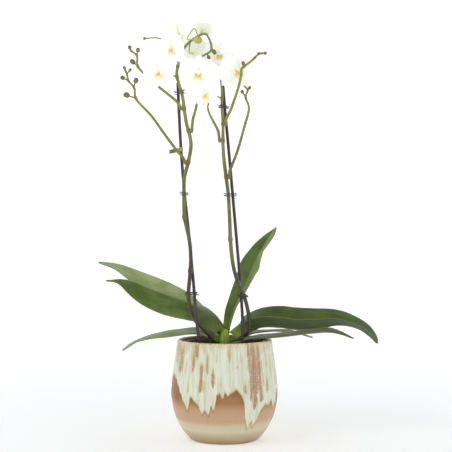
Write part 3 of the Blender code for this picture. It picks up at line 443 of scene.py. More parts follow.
def glaze_finish():
    """Pale celadon glaze that ran down over a sandy one, with brown runs in it."""
    f = Finish("dripped_glaze", 0.3, Coat_Weight=0.25, Coat_Roughness=0.12)
    drip, run, inner = f.attribute("drip"), f.attribute("run"), f.attribute("inner")
    x, y, z = f.axes()
    flat = f.node("CombineXYZ")
    f.plug(x, flat.inputs["X"])
    f.plug(y, flat.inputs["Y"])
    ring = f.node("VectorMath", operation="NORMALIZE")
    f.plug(flat.outputs["Vector"], ring.inputs[0])
    down = f.node("CombineXYZ")
    f.plug(z, down.inputs["Z"])
    wall = f.node("VectorMath", operation="ADD")
    f.plug(ring.outputs["Vector"], wall.inputs[0])
    f.plug(down.outputs["Vector"], wall.inputs[1])
    wall = wall.outputs["Vector"]
    streaks = f.noise(24.0, 4, 0.62, f.stretched((1, 1, 0.9), wall), 0.4)
    hairs = f.noise(64.0, 4, 0.7, f.stretched((1, 1, 0.8), wall), 0.3)
    clouds = f.noise(26.0, 3, 0.5)
    grit = f.noise(900.0, 2, 0.6)
    speckle = f.noise(420.0, 3, 0.7)

    pale = f.blend(streaks, 0.36, 0.62, (205, 206, 178), (222, 226, 208))
    pale = f.mix(f.fade(hairs, 0.58, 0.74, 0.0, 0.6), pale, (190, 158, 112))
    pale = f.mix(f.fade(hairs, 0.30, 0.42, 0.35, 0.0), pale, (206, 192, 150))
    pale = f.mix(f.fade(clouds, 0.50, 0.75, 0.0, 0.35), pale, (196, 206, 178))
    brown = f.mottled(hairs, (160, 118, 82), (188, 150, 116))
    brown = f.mix(f.fade(speckle, 0.52, 0.64, 0.0, 0.4), brown, (205, 184, 154))
    flush = f.calc("MULTIPLY", f.attribute("flush"), f.fade(streaks, 0.34, 0.56, 0.45, 1.15))
    flush = f.calc("MULTIPLY", flush, f.fade(hairs, 0.34, 0.60, 0.7, 1.1))
    pale = f.mix(f.fade(flush, 0.05, 1.0, 0.0, 0.75), pale, (204, 168, 124))
    broken = f.calc("MULTIPLY", run, f.fade(hairs, 0.30, 0.52, 1.25, 0.70))
    broken = f.calc("ADD", broken, f.fade(speckle, 0.30, 0.70, 0.12, -0.12))
    pale = f.blend(broken, 0.22, 0.70, pale, brown)
    rimmed = f.calc("MULTIPLY", f.fade(broken, 0.10, 0.30), f.fade(broken, 0.30, 0.55, 1.0, 0.0))
    pale = f.mix(f.calc("MULTIPLY", rimmed, 0.45), pale, (196, 176, 92))

    sand = f.ramp(f.calc("MULTIPLY", z, 10.0), [
        (0.00, (140, 108, 78)), (0.05, (168, 146, 110)), (0.13, (186, 172, 134)),
        (0.20, (205, 200, 168)), (0.27, (203, 193, 160)), (0.33, (194, 158, 126)),
        (0.44, (191, 152, 120)), (0.51, (182, 142, 100)), (0.60, (146, 92, 26)),
        (0.78, (136, 80, 14)), (1.00, (130, 78, 22))])
    sand = f.mix(f.fade(clouds, 0.40, 0.75, 0.0, 0.22), sand, (200, 172, 140))
    sand = f.mix(f.fade(grit, 0.60, 0.75, 0.0, 0.4), sand, (140, 106, 78))
    sand = f.mix(f.fade(drip, -0.0050, 0.0, 0.0, 0.55), sand, (146, 98, 50))

    edge = f.calc("ADD", drip, f.calc("MULTIPLY", f.calc("SUBTRACT", hairs, 0.5), 0.007))
    fringe = f.blend(hairs, 0.35, 0.6, (178, 142, 88), (205, 190, 140))
    body = f.blend(edge, -0.0006, 0.0006, sand, fringe)
    body = f.blend(edge, 0.0004, 0.0042, body, pale)
    lip = f.fade(z, RIM - 0.0022, RIM - 0.0006)
    body = f.mix(lip, body, f.blend(streaks, 0.45, 0.6, (238, 226, 186), (214, 168, 116)))
    amber = f.mottled(streaks, (138, 92, 34), (182, 138, 66))
    body = f.mix(inner, body, amber)
    rough = f.calc("ADD", f.fade(edge, -0.001, 0.001, 0.50, 0.30), f.calc("MULTIPLY", grit, 0.10))
    height = f.calc("ADD", f.calc("MULTIPLY", hairs, 0.6), f.calc("MULTIPLY", grit, 0.25))
    return f.finish(body, rough, height, 0.0004, 0.5)


def clear_plastic_finish():
    """Thin clear plastic, misted and scuffed."""
    f = Finish("misted_clear_plastic", 0.2, Transmission_Weight=0.85, IOR=1.45)
    mist = f.noise(70.0, 4, 0.6)
    scuff = f.noise(500.0, 2, 0.6, f.stretched((1, 1, 0.2)))
    tint = f.blend(mist, 0.35, 0.7, (226, 230, 222), (196, 202, 186))
    return f.finish(tint, f.fade(mist, 0.3, 0.75, 0.12, 0.42), scuff, 0.0002, 0.4)


def bark_finish():
    """Orchid bark: red-brown chips, some greyed, with a fibrous grain."""
    f = Finish("orchid_bark", 0.9)
    tone = f.attribute("tone")
    fibre = f.noise(260.0, 5, 0.7, f.stretched((1, 1, 0.3)), 0.6)
    clump = f.noise(40.0, 3, 0.6)
    dark = f.mottled(fibre, (34, 22, 15), (84, 56, 36))
    light = f.mottled(fibre, (88, 64, 44), (138, 112, 84))
    colour = f.mix(f.calc("MULTIPLY", tone, f.fade(clump, 0.2, 0.7)), dark, light)
    return f.finish(colour, f.fade(fibre, 0.3, 0.7, 0.75, 0.95), fibre, 0.0008, 0.9)


def root_finish():
    """Silvery velvet root skin, green at the tip."""
    f = Finish("silvery_root", 0.8)
    tip = f.attribute("mark")
    mottle = f.noise(320.0, 4, 0.65)
    colour = f.mottled(mottle, (150, 156, 130), (206, 208, 192))
    colour = f.mix(tip, colour, (112, 128, 52))
    return f.finish(colour, f.fade(mottle, 0.3, 0.7, 0.65, 0.9), mottle, 0.0003, 0.6)


def leaf_finish():
    """Thick waxy leaf: a grooved midrib, fine parallel veins and a paler, redder underside; its top side
    carries painted sheen and painted shade.
    """
    f = Finish("waxy_leaf", 0.42, Specular_IOR_Level=0.22)
    along, across = f.strip()
    pale, red, under = f.attribute("pale"), f.attribute("red"), f.attribute("under")
    ribbon = f.node("CombineXYZ")
    f.plug(f.calc("MULTIPLY", along, 5.0), ribbon.inputs["X"])
    f.plug(f.calc("MULTIPLY", across, 60.0), ribbon.inputs["Y"])
    ribbon = ribbon.outputs["Vector"]
    veins = f.noise(1.0, 3, 0.6, ribbon)
    mottle = f.noise(42.0, 4, 0.6)
    grain = f.noise(700.0, 2, 0.5)
    off = f.calc("ABSOLUTE", f.calc("SUBTRACT", across, 0.5))
    deep = f.blend(mottle, 0.32, 0.68, (52, 72, 24), (80, 102, 38))
    # light: the green paled by a painted sheen and reflection, laid on by the pale mark
    light = f.blend(mottle, 0.32, 0.68, (146, 166, 98), (178, 194, 134))
    colour = f.blend(pale, 0.0, 1.0, deep, light)
    # painted shade: where the pale mark is below 0, the top side is darkened
    colour = f.mix(f.fade(pale, -0.5, 0.0, 0.85, 0.0), colour, (36, 52, 12))
    colour = f.mix(f.fade(veins, 0.42, 0.64, 0.0, 0.22), colour, (132, 156, 74))
    colour = f.mix(f.fade(off, 0.010, 0.028, 0.75, 0.0), colour, (150, 168, 88))
    # painted shade: the bottom of the midrib groove is darkened
    colour = f.mix(f.fade(off, 0.003, 0.010, 0.55, 0.0), colour, (54, 70, 26))
    colour = f.mix(f.fade(off, 0.470, 0.497, 0.0, 0.5), colour, (148, 158, 84))
    colour = f.mix(f.fade(along, 0.955, 1.0, 0.0, 0.55), colour, (104, 84, 44))
    colour = f.mix(f.fade(along, 0.02, 0.15, 0.75, 0.0), colour, (146, 172, 52))
    below = f.mottled(veins, (112, 128, 66), (134, 148, 86))
    below = f.mix(f.calc("MULTIPLY", red, f.fade(mottle, 0.25, 0.6)), below, (106, 72, 60))
    colour = f.mix(under, colour, below)
    colour = f.mix(f.calc("MULTIPLY", red, f.fade(along, 0.02, 0.30, 0.75, 0.0)), colour,
                   (72, 62, 42))
    height = f.calc("ADD", f.calc("MULTIPLY", veins, 0.5), f.fade(off, 0.0, 0.03, -1.2, 0.0))
    height = f.calc("ADD", height, f.calc("MULTIPLY", grain, 0.12))
    rough = f.calc("ADD", f.fade(mottle, 0.3, 0.7, 0.36, 0.50), f.calc("MULTIPLY", under, 0.15))
    return f.finish(colour, rough, height, 0.0003, 0.6)


def stem_finish():
    """Olive stems, yellower higher up, with browner joints and scales."""
    f = Finish("olive_stem", 0.42)
    mark, low, fresh = f.attribute("mark"), f.attribute("low"), f.attribute("fresh")
    mottle = f.noise(150.0, 4, 0.6, f.stretched((1, 1, 0.3)))
    dots = f.noise(800.0, 2, 0.6)
    height = f.axes()[2]
    colour = f.mottled(mottle, (86, 92, 36), (116, 122, 56))
    colour = f.mix(f.fade(height, RIM + 0.20, RIM + 0.36, 0.0, 0.6), colour, (152, 158, 74))
    colour = f.mix(f.fade(dots, 0.60, 0.72, 0.0, 0.30), colour, (84, 68, 40))
    colour = f.mix(f.calc("MULTIPLY", mark, 0.5), colour, (122, 104, 56))
    colour = f.mix(fresh, colour, (218, 225, 190))
    colour = f.mix(f.calc("MULTIPLY", low, 0.85), colour, (52, 44, 34))
    return f.finish(colour, f.fade(mottle, 0.3, 0.7, 0.36, 0.52), dots, 0.0002, 0.5)


def bud_finish():
    """Closed buds: green, flushed brown on their shoulders."""
    f = Finish("closed_bud", 0.4, Subsurface_Weight=0.1, Subsurface_Scale=0.002)
    pale, mark = f.attribute("pale"), f.attribute("mark")
    mottle = f.noise(210.0, 4, 0.6)
    colour = f.mottled(mottle, (112, 104, 40), (142, 138, 62))
    colour = f.mix(pale, colour, (198, 208, 122))
    colour = f.mix(f.calc("MULTIPLY", mark, f.fade(pale, 0.0, 1.0, 0.6, 0.25)), colour,
                   (98, 78, 38))
    return f.finish(colour, f.fade(mottle, 0.3, 0.7, 0.34, 0.48), mottle, 0.0002, 0.4)


def stake_finish():
    """Purple-brown plastic-coated stake, lightly ridged."""
    f = Finish("coated_stake", 0.38)
    grain = f.noise(420.0, 3, 0.6, f.stretched((1, 1, 0.04)))
    wear = f.noise(90.0, 3, 0.6)
    colour = f.blend(wear, 0.35, 0.7, (50, 38, 40), (72, 56, 58))
    colour = f.mix(f.fade(grain, 0.55, 0.75, 0.0, 0.4), colour, (96, 78, 78))
    return f.finish(colour, f.fade(wear, 0.3, 0.7, 0.32, 0.50), grain, 0.0002, 0.6)


def clip_finish():
    """Smoky grey spring clip."""
    f = Finish("smoky_clip", 0.35)
    haze = f.noise(300.0, 3, 0.5)
    colour = f.blend(haze, 0.3, 0.7, (62, 54, 56), (92, 84, 86))
    return f.finish(colour, f.fade(haze, 0.3, 0.7, 0.3, 0.45), haze, 0.0001, 0.3)


def tape_finish():
    """Yellow-green florist's tape, dull and creased, darker where it is doubled."""
    f = Finish("florist_tape", 0.55)
    fold = f.attribute("mark")
    crease = f.noise(380.0, 4, 0.6, f.stretched((0.5, 1, 1)))
    bright = f.mottled(crease, (168, 172, 66), (196, 198, 96))
    dull = f.mottled(crease, (100, 104, 44), (132, 134, 66))
    return f.finish(f.mix(fold, bright, dull), f.fade(crease, 0.3, 0.7, 0.45, 0.65), crease, 0.0003, 0.7)


def petal_finish():
    """White petals: faint veins, a green-yellow heart, a soft sheen and a faint painted glow."""
    # The white emission is painted light: the petals glow faintly.
    f = Finish("white_petal", 0.5, Subsurface_Weight=0.25, Subsurface_Scale=0.003,
               Sheen_Weight=0.15, Emission_Color=WHITE, Emission_Strength=0.12)
    along, across = f.strip()
    green, hub = f.attribute("pale"), f.attribute("mark")
    ribbon = f.node("CombineXYZ")
    f.plug(f.calc("MULTIPLY", along, 4.0), ribbon.inputs["X"])
    f.plug(f.calc("MULTIPLY", across, 34.0), ribbon.inputs["Y"])
    veins = f.noise(1.0, 3, 0.6, ribbon.outputs["Vector"])
    colour = f.mix(f.fade(veins, 0.45, 0.66, 0.0, 0.5), (254, 254, 251), (246, 247, 240))
    colour = f.mix(f.calc("MULTIPLY", hub, 0.45), colour, (234, 238, 192))
    colour = f.mix(green, colour, f.blend(veins, 0.4, 0.65, (216, 226, 158), (188, 204, 116)))
    grain = f.noise(900.0, 2, 0.5)
    height = f.calc("ADD", veins, f.calc("MULTIPLY", grain, 0.2))
    return f.finish(colour, f.fade(veins, 0.3, 0.7, 0.46, 0.58), height, 0.0002, 0.5)


def lip_finish():
    """The lip: yellow throat with orange-brown bars, fading to white at its tip, and a faint painted glow.
    """
    # The emission is painted light: the lip glows faintly.
    f = Finish("yellow_lip", 0.42, Subsurface_Weight=0.2, Subsurface_Scale=0.002,
               Emission_Color=(1.0, 0.98, 0.9, 1.0), Emission_Strength=0.08)
    mark = f.attribute("mark")
    spots = f.noise(700.0, 3, 0.6)
    colour = f.ramp(mark, [(0.0, (251, 250, 243)), (0.35, (248, 245, 222)),
                           (0.7, (244, 233, 168)), (1.0, (236, 208, 116))])
    orange = f.calc("MULTIPLY", f.fade(spots, 0.52, 0.60), f.fade(mark, 0.35, 0.8, 0.0, 0.6))
    return f.finish(f.mix(orange, colour, (206, 146, 62)), 0.42, spots, 0.0002, 0.4)


def studio_finish():
    """Matt pale paper for the floor and backdrop, with painted light: it glows, more strongly away from the
    pot.
    """
    f = Finish("glowing_studio_paper", 0.9, Emission_Color=WHITE)
    fleck = f.noise(3.0, 2, 0.5)
    x, y, _ = f.axes()
    away = f.calc("SQRT", f.calc("ADD", f.calc("MULTIPLY", x, x), f.calc("MULTIPLY", y, y)))
    # painted light: the paper's glow rises from 0.28 near the pot to 0.39 far from it
    f.plug(f.fade(away, 0.10, 1.40, 0.28, 0.39), f.shader.inputs["Emission Strength"])
    return f.finish(f.blend(fleck, 0.3, 0.7, (249, 250, 251), (251, 252, 253)))


# ---- shared shaping -----------------------------------------------------------------------
def above_rim(point):
    """A height above the rim as a height above the base."""
    return Vector((point[0], point[1], RIM + point[2]))


def smooth_route(points, steps):
    """Points along a smooth curve that passes through every given point."""
    points = [Vector(p) for p in points]
    ends = [2 * points[0] - points[1]] + points + [2 * points[-1] - points[-2]]
    route = []
    for a, b, c, d in zip(ends, ends[1:], ends[2:], ends[3:]):
        for step in range(steps):
            t = step / steps
            route.append(0.5 * (2 * b + (c - a) * t + (2 * a - 5 * b + 4 * c - d) * t * t
                                + (3 * b - a - 3 * c + d) * t ** 3))
    return route + [points[-1]]


def even_route(points, spacing):
    """The same route with points a steady distance apart."""
    lengths = [0.0]
    for a, b in zip(points, points[1:]):
        lengths.append(lengths[-1] + (b - a).length)
    count = max(2, round(lengths[-1] / spacing))
    route, leg = [], 0
    for step in range(count + 1):
        goal = lengths[-1] * step / count
        while leg < len(points) - 2 and lengths[leg + 1] < goal:
            leg += 1
        span = max(1e-9, lengths[leg + 1] - lengths[leg])
        route.append(points[leg].lerp(points[leg + 1], (goal - lengths[leg]) / span))
    return route


def rim_route(points, steps, spacing):
    """An even, smooth route through points given above the rim."""
    return even_route(smooth_route([above_rim(p) for p in points], steps), spacing)


def rounded_rim(radius, height, size, step):
    """(radius, height) points over a rounded rim, from its outside to its inside."""
    bead = []
    for turn in range(0, 181, step):
        angle = math.radians(turn)
        bead.append((radius - size * (1 - math.cos(angle)), height - size * (1 - math.sin(angle))))
    return bead


def smoothstep(low, high, value):
    t = min(1.0, max(0.0, (value - low) / (high - low)))
    return t * t * (3 - 2 * t)


def new_work(*marks):
    """A bmesh with the named vertex marks and a strip UV map."""
    work = bmesh.new()
    work.loops.layers.uv.new("strip")
    for mark in marks:
        work.verts.layers.float.new(mark)
    return work


def layer_of(work, mark):
    return work.verts.layers.float[mark]


def made_object(name, work, finish, smooth=True):
    """Turn finished work into an object in the scene."""
    mesh = bpy.data.meshes.new(name)
    work.to_mesh(mesh)
    work.free()
    mesh.materials.append(finish)
    if smooth:
        mesh.shade_smooth()
    made = bpy.data.objects.new(name, mesh)
    bpy.context.scene.collection.objects.link(made)
    return made


def put(name, work, finish, nodes=(), smooth=True):
    """Turn finished work into a piece that rides on the plant and stands for CAD nodes."""
    piece = made_object(name, work, finish, smooth)
    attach(piece, "root")
    if nodes:
        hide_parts(*nodes)
    return piece


def lathe(work, outline, turns):
    """Spin an outline of (radius, height) about Z."""
    first = len(work.verts)
    chain = [work.verts.new((radius, 0.0, height)) for radius, height in outline]
    edges = [work.edges.new(pair) for pair in zip(chain, chain[1:])]
    bmesh.ops.spin(work, geom=chain + edges, cent=(0, 0, 0), axis=(0, 0, 1), angle=math.tau,
                   steps=turns, use_merge=True)
    work.verts.ensure_lookup_table()
    made = work.verts[first:]
    bmesh.ops.remove_doubles(work, verts=made, dist=MERGE)
    bmesh.ops.recalc_face_normals(work, faces=work.faces)


def sweep(work, route, radii, sides=12, mark=None, values=None):
    """A round, capped stem along a route, with its own radius and mark at each point."""
    layer = layer_of(work, mark) if mark else None
    made = bmesh.ops.create_circle(work, cap_ends=True, radius=1.0, segments=sides)["verts"]
    edges = list({edge for corner in made for edge in corner.link_edges})
    before = Matrix.Identity(4)
    across = (route[1] - route[0]).orthogonal().normalized()
    for step, place in enumerate(route):
        ahead = route[min(step + 1, len(route) - 1)] - route[max(step - 1, 0)]
        ahead.normalize()
        across = (across - ahead * across.dot(ahead)).normalized()
        frame_here = Matrix((across, ahead.cross(across), ahead)).transposed().to_4x4()
        frame_here = Matrix.Translation(place) @ frame_here @ Matrix.Scale(radii[step], 4)
        if step:
            raised = bmesh.ops.extrude_edge_only(work, edges=edges)["geom"]
            made = [item for item in raised if isinstance(item, bmesh.types.BMVert)]
            edges = [item for item in raised if isinstance(item, bmesh.types.BMEdge)]
        bmesh.ops.transform(work, matrix=frame_here @ before.inverted(), verts=made)
        before = frame_here
        if layer:
            for corner in made:
                corner[layer] = values[step]
    bmesh.ops.edgeloop_fill(work, edges=edges)


def close(work):
    """Merge doubles and turn every face outwards."""
    bmesh.ops.remove_doubles(work, verts=work.verts, dist=MERGE)
    bmesh.ops.recalc_face_normals(work, faces=work.faces)


def sheet_grid(work, along, across):
    """A flat grid whose corners come back as (corner, 0 to 1 along, -1 to 1 across)."""
    made = bmesh.ops.create_grid(work, x_segments=along, y_segments=across, size=0.5,
                                 calc_uvs=True)["verts"]
    return [(corner, corner.co.x + 0.5, corner.co.y * 2) for corner in made]


def thicken(piece, thickness):
    """Give a sheet its thickness."""
    wall = piece.modifiers.new("thickness", "SOLIDIFY")
    wall.thickness = thickness
    wall.offset = 0.0


# ---- cachepot, grower's pot and bark ----------------------------------------------------------
def pot_outline():
    """Outside from the foot to the rim, over the rounded rim and down the inside."""
    ends = {"base": POT_BASE_RADIUS, "rim": POT_RIM_RADIUS}
    points = [Vector((ends[end] + (POT_BELLY_RADIUS - ends[end]) * share, RIM * height, 0.0))
              for height, end, share in POT_OUTLINE]
    side = even_route(smooth_route(points, 12), 0.0011)
    outside = [(p.x, p.y) for p in side if 0.0012 < p.y < RIM - POT_WALL / 2]
    rim = rounded_rim(POT_RIM_RADIUS, RIM, POT_WALL / 2, 12)
    inside = [(radius - POT_WALL, height) for radius, height in outside[::-4]
              if height > POT_FLOOR + 0.002]
    foot = [(0.0, 0.0016), (POT_BASE_RADIUS - 0.0075, 0.0014), (POT_BASE_RADIUS - 0.0060, 0.0),
            (POT_BASE_RADIUS - 0.0012, 0.0), (POT_BASE_RADIUS - 0.0002, 0.0006)]
    return foot + outside + rim + inside + [(0.030, POT_FLOOR), (0.0, POT_FLOOR)]


def glaze_edge(draw):
    """The drip edge all the way round, its back drawn with seeded drips."""
    edge = list(GLAZE_EDGE)
    turn = edge[-1][0]
    while turn < 270:
        turn += draw.uniform(3.0, 6.5)
        edge.append((turn, draw.uniform(62, 80)))
        turn += draw.uniform(2.5, 5.5)
        edge.append((turn, draw.choice((34, 44, 52, 56)) + draw.uniform(-5, 5)))
    edge = [point for point in edge if point[0] < 282]
    return edge + [(edge[0][0] + 360, edge[0][1])]


def edge_height(edge, turn):
    """Height of the drip edge, in metres, at a turn in degrees."""
    turn = (turn - edge[0][0]) % 360 + edge[0][0]
    for (low, start), (high, end) in zip(edge, edge[1:]):
        if low <= turn <= high:
            share = 0.5 - 0.5 * math.cos(math.pi * (turn - low) / (high - low))
            return (start + (end - start) * share) * MM
    return edge[-1][1] * MM


def glaze_runs(draw):
    """The brown runs, with fainter seeded ones round the back."""
    runs = list(GLAZE_RUNS)
    turn = 62
    while turn < 296:
        turn += draw.uniform(5, 13)
        top = draw.uniform(90, 145)
        runs.append((turn, draw.choice((1.2, 1.6, 2.0, 5.5)), top, top - draw.uniform(18, 60),
                     draw.uniform(0.35, 0.85)))
    return runs


def glaze_flushes(draw):
    """The peach flushes below the rim, with seeded ones round the back."""
    flushes = list(GLAZE_FLUSHES)
    turn = 66
    while turn < 288:
        turn += draw.uniform(8, 14)
        flushes.append((turn, draw.uniform(3.0, 7.0), 150, draw.uniform(112, 132),
                        draw.uniform(0.5, 0.9)))
    return flushes


def run_strength(runs, turn, height):
    """How brown the glaze is at a place on the wall: runs sway, swell and end raggedly."""
    total = 0.0
    for step, (middle, half, top, bottom, strength) in enumerate(runs):
        sway = 1.1 * noise.noise(Vector((height * 0.06, step * 3.7, 0.5)))
        width = half * (1 + 0.5 * noise.noise(Vector((height * 0.09, step * 5.1, 9.5))))
        off = abs((turn - middle - sway + 180) % 360 - 180) / width
        if off < 1.6:
            ragged = (3 + half) * noise.noise(Vector((turn * 0.5, step * 2.3, 3.5)))
            side = 1 - smoothstep(0.45, 1.55, off)
            low = bottom + ragged + half * off * off
            ends = smoothstep(low - 3, low + 3, height) * (1 - smoothstep(top - 9, top + 6, height + ragged))
            total = max(total, strength * side * ends)
    return total


def make_cachepot(finish):
    """The full-bellied pot, its glaze a little thicker above the drip edge."""
    draw = random.Random(11)
    edge, runs, flushes = glaze_edge(draw), glaze_runs(draw), glaze_flushes(draw)
    work = new_work("drip", "run", "flush", "inner")
    drip_mark, run_mark, flush_mark, inner_mark = (
        layer_of(work, n) for n in ("drip", "run", "flush", "inner"))
    lathe(work, pot_outline(), POT_TURNS)
    for corner in work.verts:
        place = corner.co
        turn = math.degrees(math.atan2(place.x, -place.y))
        radius = place.xy.length
        wander = noise.noise(Vector((turn * 0.35, 0.0, 4.0))) * 1.4 * MM
        drip = place.z - edge_height(edge, turn) - wander
        inside = radius < POT_RIM_RADIUS - POT_WALL * 0.8 and place.z > 0.125
        corner[drip_mark] = drip
        corner[run_mark] = run_strength(runs, turn, place.z / MM)
        corner[flush_mark] = run_strength(flushes, turn, place.z / MM)
        corner[inner_mark] = 1.0 if inside or radius < POT_BASE_RADIUS - 0.002 else 0.0
        if not inside and place.z > 0.004 and radius > POT_BASE_RADIUS:
            bead = math.exp(-((drip - 0.0012) / 0.0014) ** 2)
            rise = GLAZE_RELIEF * (smoothstep(-0.0006, 0.0014, drip) + 0.7 * bead)
            wave = 0.00012 * noise.noise(place * 60)
            out = Vector((place.x, place.y, 0)).normalized()
            corner.co = place + out * (rise * (1 - smoothstep(RIM - 0.004, RIM, place.z)) + wave)
    put("dripped_cachepot", work, finish, ["ceramic_pot"])


def make_grower_pot(finish):
    """The thin clear liner, with a rolled lip and shallow ribs down its side."""
    belly = NURSERY_RADIUS * NURSERY_TAPER
    foot = belly - NURSERY_TUCK
    floor = POT_FLOOR + REST_GAP
    knee = floor + NURSERY_KNEE
    outline = [(0.0, floor), (foot, floor), (belly - 0.004, knee - 0.005), (belly, knee)]
    for step in range(1, 15):
        share = step / 14
        outline.append((belly + (NURSERY_RADIUS - belly) * share,
                        knee + (NURSERY_TOP - 0.003 - knee) * share))
    outline += rounded_rim(NURSERY_RADIUS, NURSERY_TOP, NURSERY_BEAD, 20)
    outline += [(NURSERY_RADIUS - NURSERY_WALL * 1.3, NURSERY_TOP - 0.004),
                (belly - NURSERY_WALL, knee + 0.001), (foot - 0.0006, floor + NURSERY_WALL),
                (0.0, floor + NURSERY_WALL)]
    work = new_work("mark")
    lathe(work, outline, 144)
    for corner in work.verts:
        place = corner.co
        if 0.05 < place.z < NURSERY_TOP - 0.003:
            turn = math.atan2(place.y, place.x)
            out = Vector((place.x, place.y, 0)).normalized()
            corner.co = place + out * 0.00018 * (math.cos(24 * turn) - 1)
    put("clear_grower_pot", work, finish, ["nursery_pot"])


def make_bark_bed(finish):
    """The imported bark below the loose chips, its top heaped and hollowed."""
    belly = NURSERY_RADIUS * NURSERY_TAPER - NURSERY_WALL - 0.0004
    foot = belly - NURSERY_TUCK
    floor = POT_FLOOR + NURSERY_WALL + 0.0008
    edge = NURSERY_RADIUS - NURSERY_WALL - 0.0016
    outline = [(0.0, floor), (foot, floor), (belly, floor + 0.026), (edge, BARK_TOP - 0.001)]
    outline += [(edge * (1 - step / 24), BARK_TOP) for step in range(1, 25)]
    work = new_work("tone")
    tone = layer_of(work, "tone")
    lathe(work, outline, 96)
    for corner in work.verts:
        lumps = noise.noise(corner.co * 110) + 0.5 * noise.noise(corner.co * 260)
        corner[tone] = 0.3 + 0.5 * lumps
        if corner.co.z > BARK_TOP - 0.002 and corner.co.xy.length < edge * 0.95:
            corner.co.z += 0.0028 * lumps
    put("packed_bark", work, finish, ["bark_medium"])


def make_chips(finish):
    """Loose bark chips: split, bevelled blocks tumbled over the bed."""
    draw = random.Random(23)
    work = new_work("tone")
    tone = layer_of(work, "tone")
    for _ in range(CHIPS):
        turn, radius = draw.uniform(0, math.tau), CHIP_SPREAD * math.sqrt(draw.uniform(0.0, 1.0))
        size = draw.uniform(0.0045, 0.0100)
        place = Vector((radius * math.cos(turn), radius * math.sin(turn),
                        BARK_TOP + draw.uniform(-0.0010, 0.0030)))
        spread = [size, size * draw.uniform(0.45, 0.8), size * draw.uniform(0.2, 0.42)]
        pose = (Matrix.Translation(place) @ Matrix.Rotation(draw.uniform(0, math.tau), 4, "Z")
                @ Matrix.Rotation(draw.uniform(-0.5, 0.5), 4, "X")
                @ Matrix.Rotation(draw.uniform(-0.5, 0.5), 4, "Y") @ Matrix.Diagonal((*spread, 1)))
        corners = bmesh.ops.create_cube(work, size=1.0)["verts"]
        for corner in corners:
            corner.co += Vector([draw.uniform(-0.16, 0.16) for _ in range(3)])
        edges = list({edge for corner in corners for edge in corner.link_edges})
        bevelled = bmesh.ops.bevel(work, geom=edges, offset=0.14, affect="EDGES", segments=1,
                                   profile=0.5, material=-1)
        corners = list({corner for face in bevelled["faces"] for corner in face.verts})
        bmesh.ops.transform(work, matrix=pose, verts=corners)
        shade = draw.uniform(0.0, 1.0) ** 1.6
        for corner in corners:
            corner[tone] = shade
    put("loose_bark_chips", work, finish, smooth=False)


# ---- stems, buds and supports ----------------------------------------------------------------
def at_height(points, height):
    """The place on a route at a height above the rim, and its share of the points passed."""
    points = [Vector(p) for p in points]
    for step, (low, high) in enumerate(zip(points, points[1:])):
        if low.z <= height <= high.z:
            rest = (height - low.z) / (high.z - low.z)
            return low.lerp(high, rest), (step + rest) / (len(points) - 1)
    return points[-1], 1.0


def heading_at(points, height):
    """The direction in which a route climbs at a height."""
    return (at_height(points, height + 0.002)[0] - at_height(points, height - 0.002)[0]).normalized()


def drawn_out(share, foot, tip):
    """A stem's radius at a share of its length: full for most of it, then drawn out."""
    if share < STEM_FULL_SHARE:
        return foot * (1 - (1 - STEM_FULL) * share / STEM_FULL_SHARE)
    rest = (share - STEM_FULL_SHARE) / (1 - STEM_FULL_SHARE)
    return foot * STEM_FULL + (tip - foot * STEM_FULL) * rest


def jointed_stem(work, points, foot, tip, joints, low=None, spacing=0.0011, sides=14):
    """A stem along above-rim points that swells at its joints."""
    route = rim_route(points, 8, spacing)
    centres = [above_rim(joint) for joint in joints]
    radii, marks = [], []
    low_mark = layer_of(work, "low")
    for step, place in enumerate(route):
        share = step / (len(route) - 1)
        swell = max([math.exp(-((place - c).length / JOINT_REACH) ** 2) for c in centres] or [0.0])
        wobble = 1 + 0.035 * noise.noise(place * 150)
        radii.append(drawn_out(share, foot, tip) * (1 + JOINT_SWELL * swell) * wobble)
        marks.append(swell)
    radii[0] *= 0.8
    radii[-1] *= 0.75
    first = len(work.verts)
    sweep(work, route, radii, sides, "mark", marks)
    if low:
        work.verts.ensure_lookup_table()
        for corner in work.verts[first:]:
            corner[low_mark] = 1 - smoothstep(RIM + low[0], RIM + low[1], corner.co.z)


def scale_leaf(work, place, heading, side, radius, length):
    """A small pointed scale that sheathes a joint."""
    route, radii, marks = [], [], []
    for step in range(9):
        share = step / 8
        reach = radius * (0.15 + 0.95 * math.sin(math.pi * min(1, 0.25 + share * 0.6)))
        route.append(place + heading * length * (share - 0.25) + side * reach * (0.45 + 0.8 * share ** 2))
        radii.append(max(0.0003, radius * 1.02 * (1 - share ** 1.8)))
        marks.append(1.0 - 0.5 * share)
    sweep(work, route, radii, 10, "mark", marks)


def add_bud(work, foot, bends, tip, radius, length, paleness=0.0):
    """A pointed oval bud on its own stalk."""
    foot, tip = above_rim(foot), above_rim(tip)
    bends = [above_rim(bend) for bend in bends]
    along = (tip - (bends[-1] if bends else foot)).normalized()
    tail = tip - along * length * 0.5
    pale = layer_of(work, "pale")
    first = len(work.verts)
    stalk = even_route(smooth_route([foot, *(bends or [foot.lerp(tail, 0.5)]), tail], 6), FINE_STEP)
    thin = [SHOOT_RADIUS * (0.95 - 0.25 * step / len(stalk)) for step in range(len(stalk))]
    sweep(work, stalk, thin, 8, "mark", [0.35] * len(stalk))
    route, radii, marks = [], [], []
    for turn in range(6, 180, 12):
        angle = math.radians(turn)
        route.append(tail + along * length * 0.5 * (1 - math.cos(angle)))
        radii.append(max(0.00025, radius * math.sin(angle) ** 0.85 * (1.04 - 0.10 * turn / 180)))
        marks.append(smoothstep(30, 140, turn))
    sweep(work, route, radii, 16, "mark", marks)
    work.verts.ensure_lookup_table()
    for corner in work.verts[first:]:
        corner[pale] = paleness


def flower_frame(name):
    """Where a flower is: +Z out of its face and +Y up."""
    place, turn, nod, roll, size = FLOWERS[name]
    return (Matrix.Translation(above_rim(place)) @ Matrix.Rotation(math.radians(turn), 4, "Z")
            @ Matrix.Rotation(math.radians(90 + nod), 4, "X")
            @ Matrix.Rotation(math.radians(roll), 4, "Z") @ Matrix.Scale(size, 4))


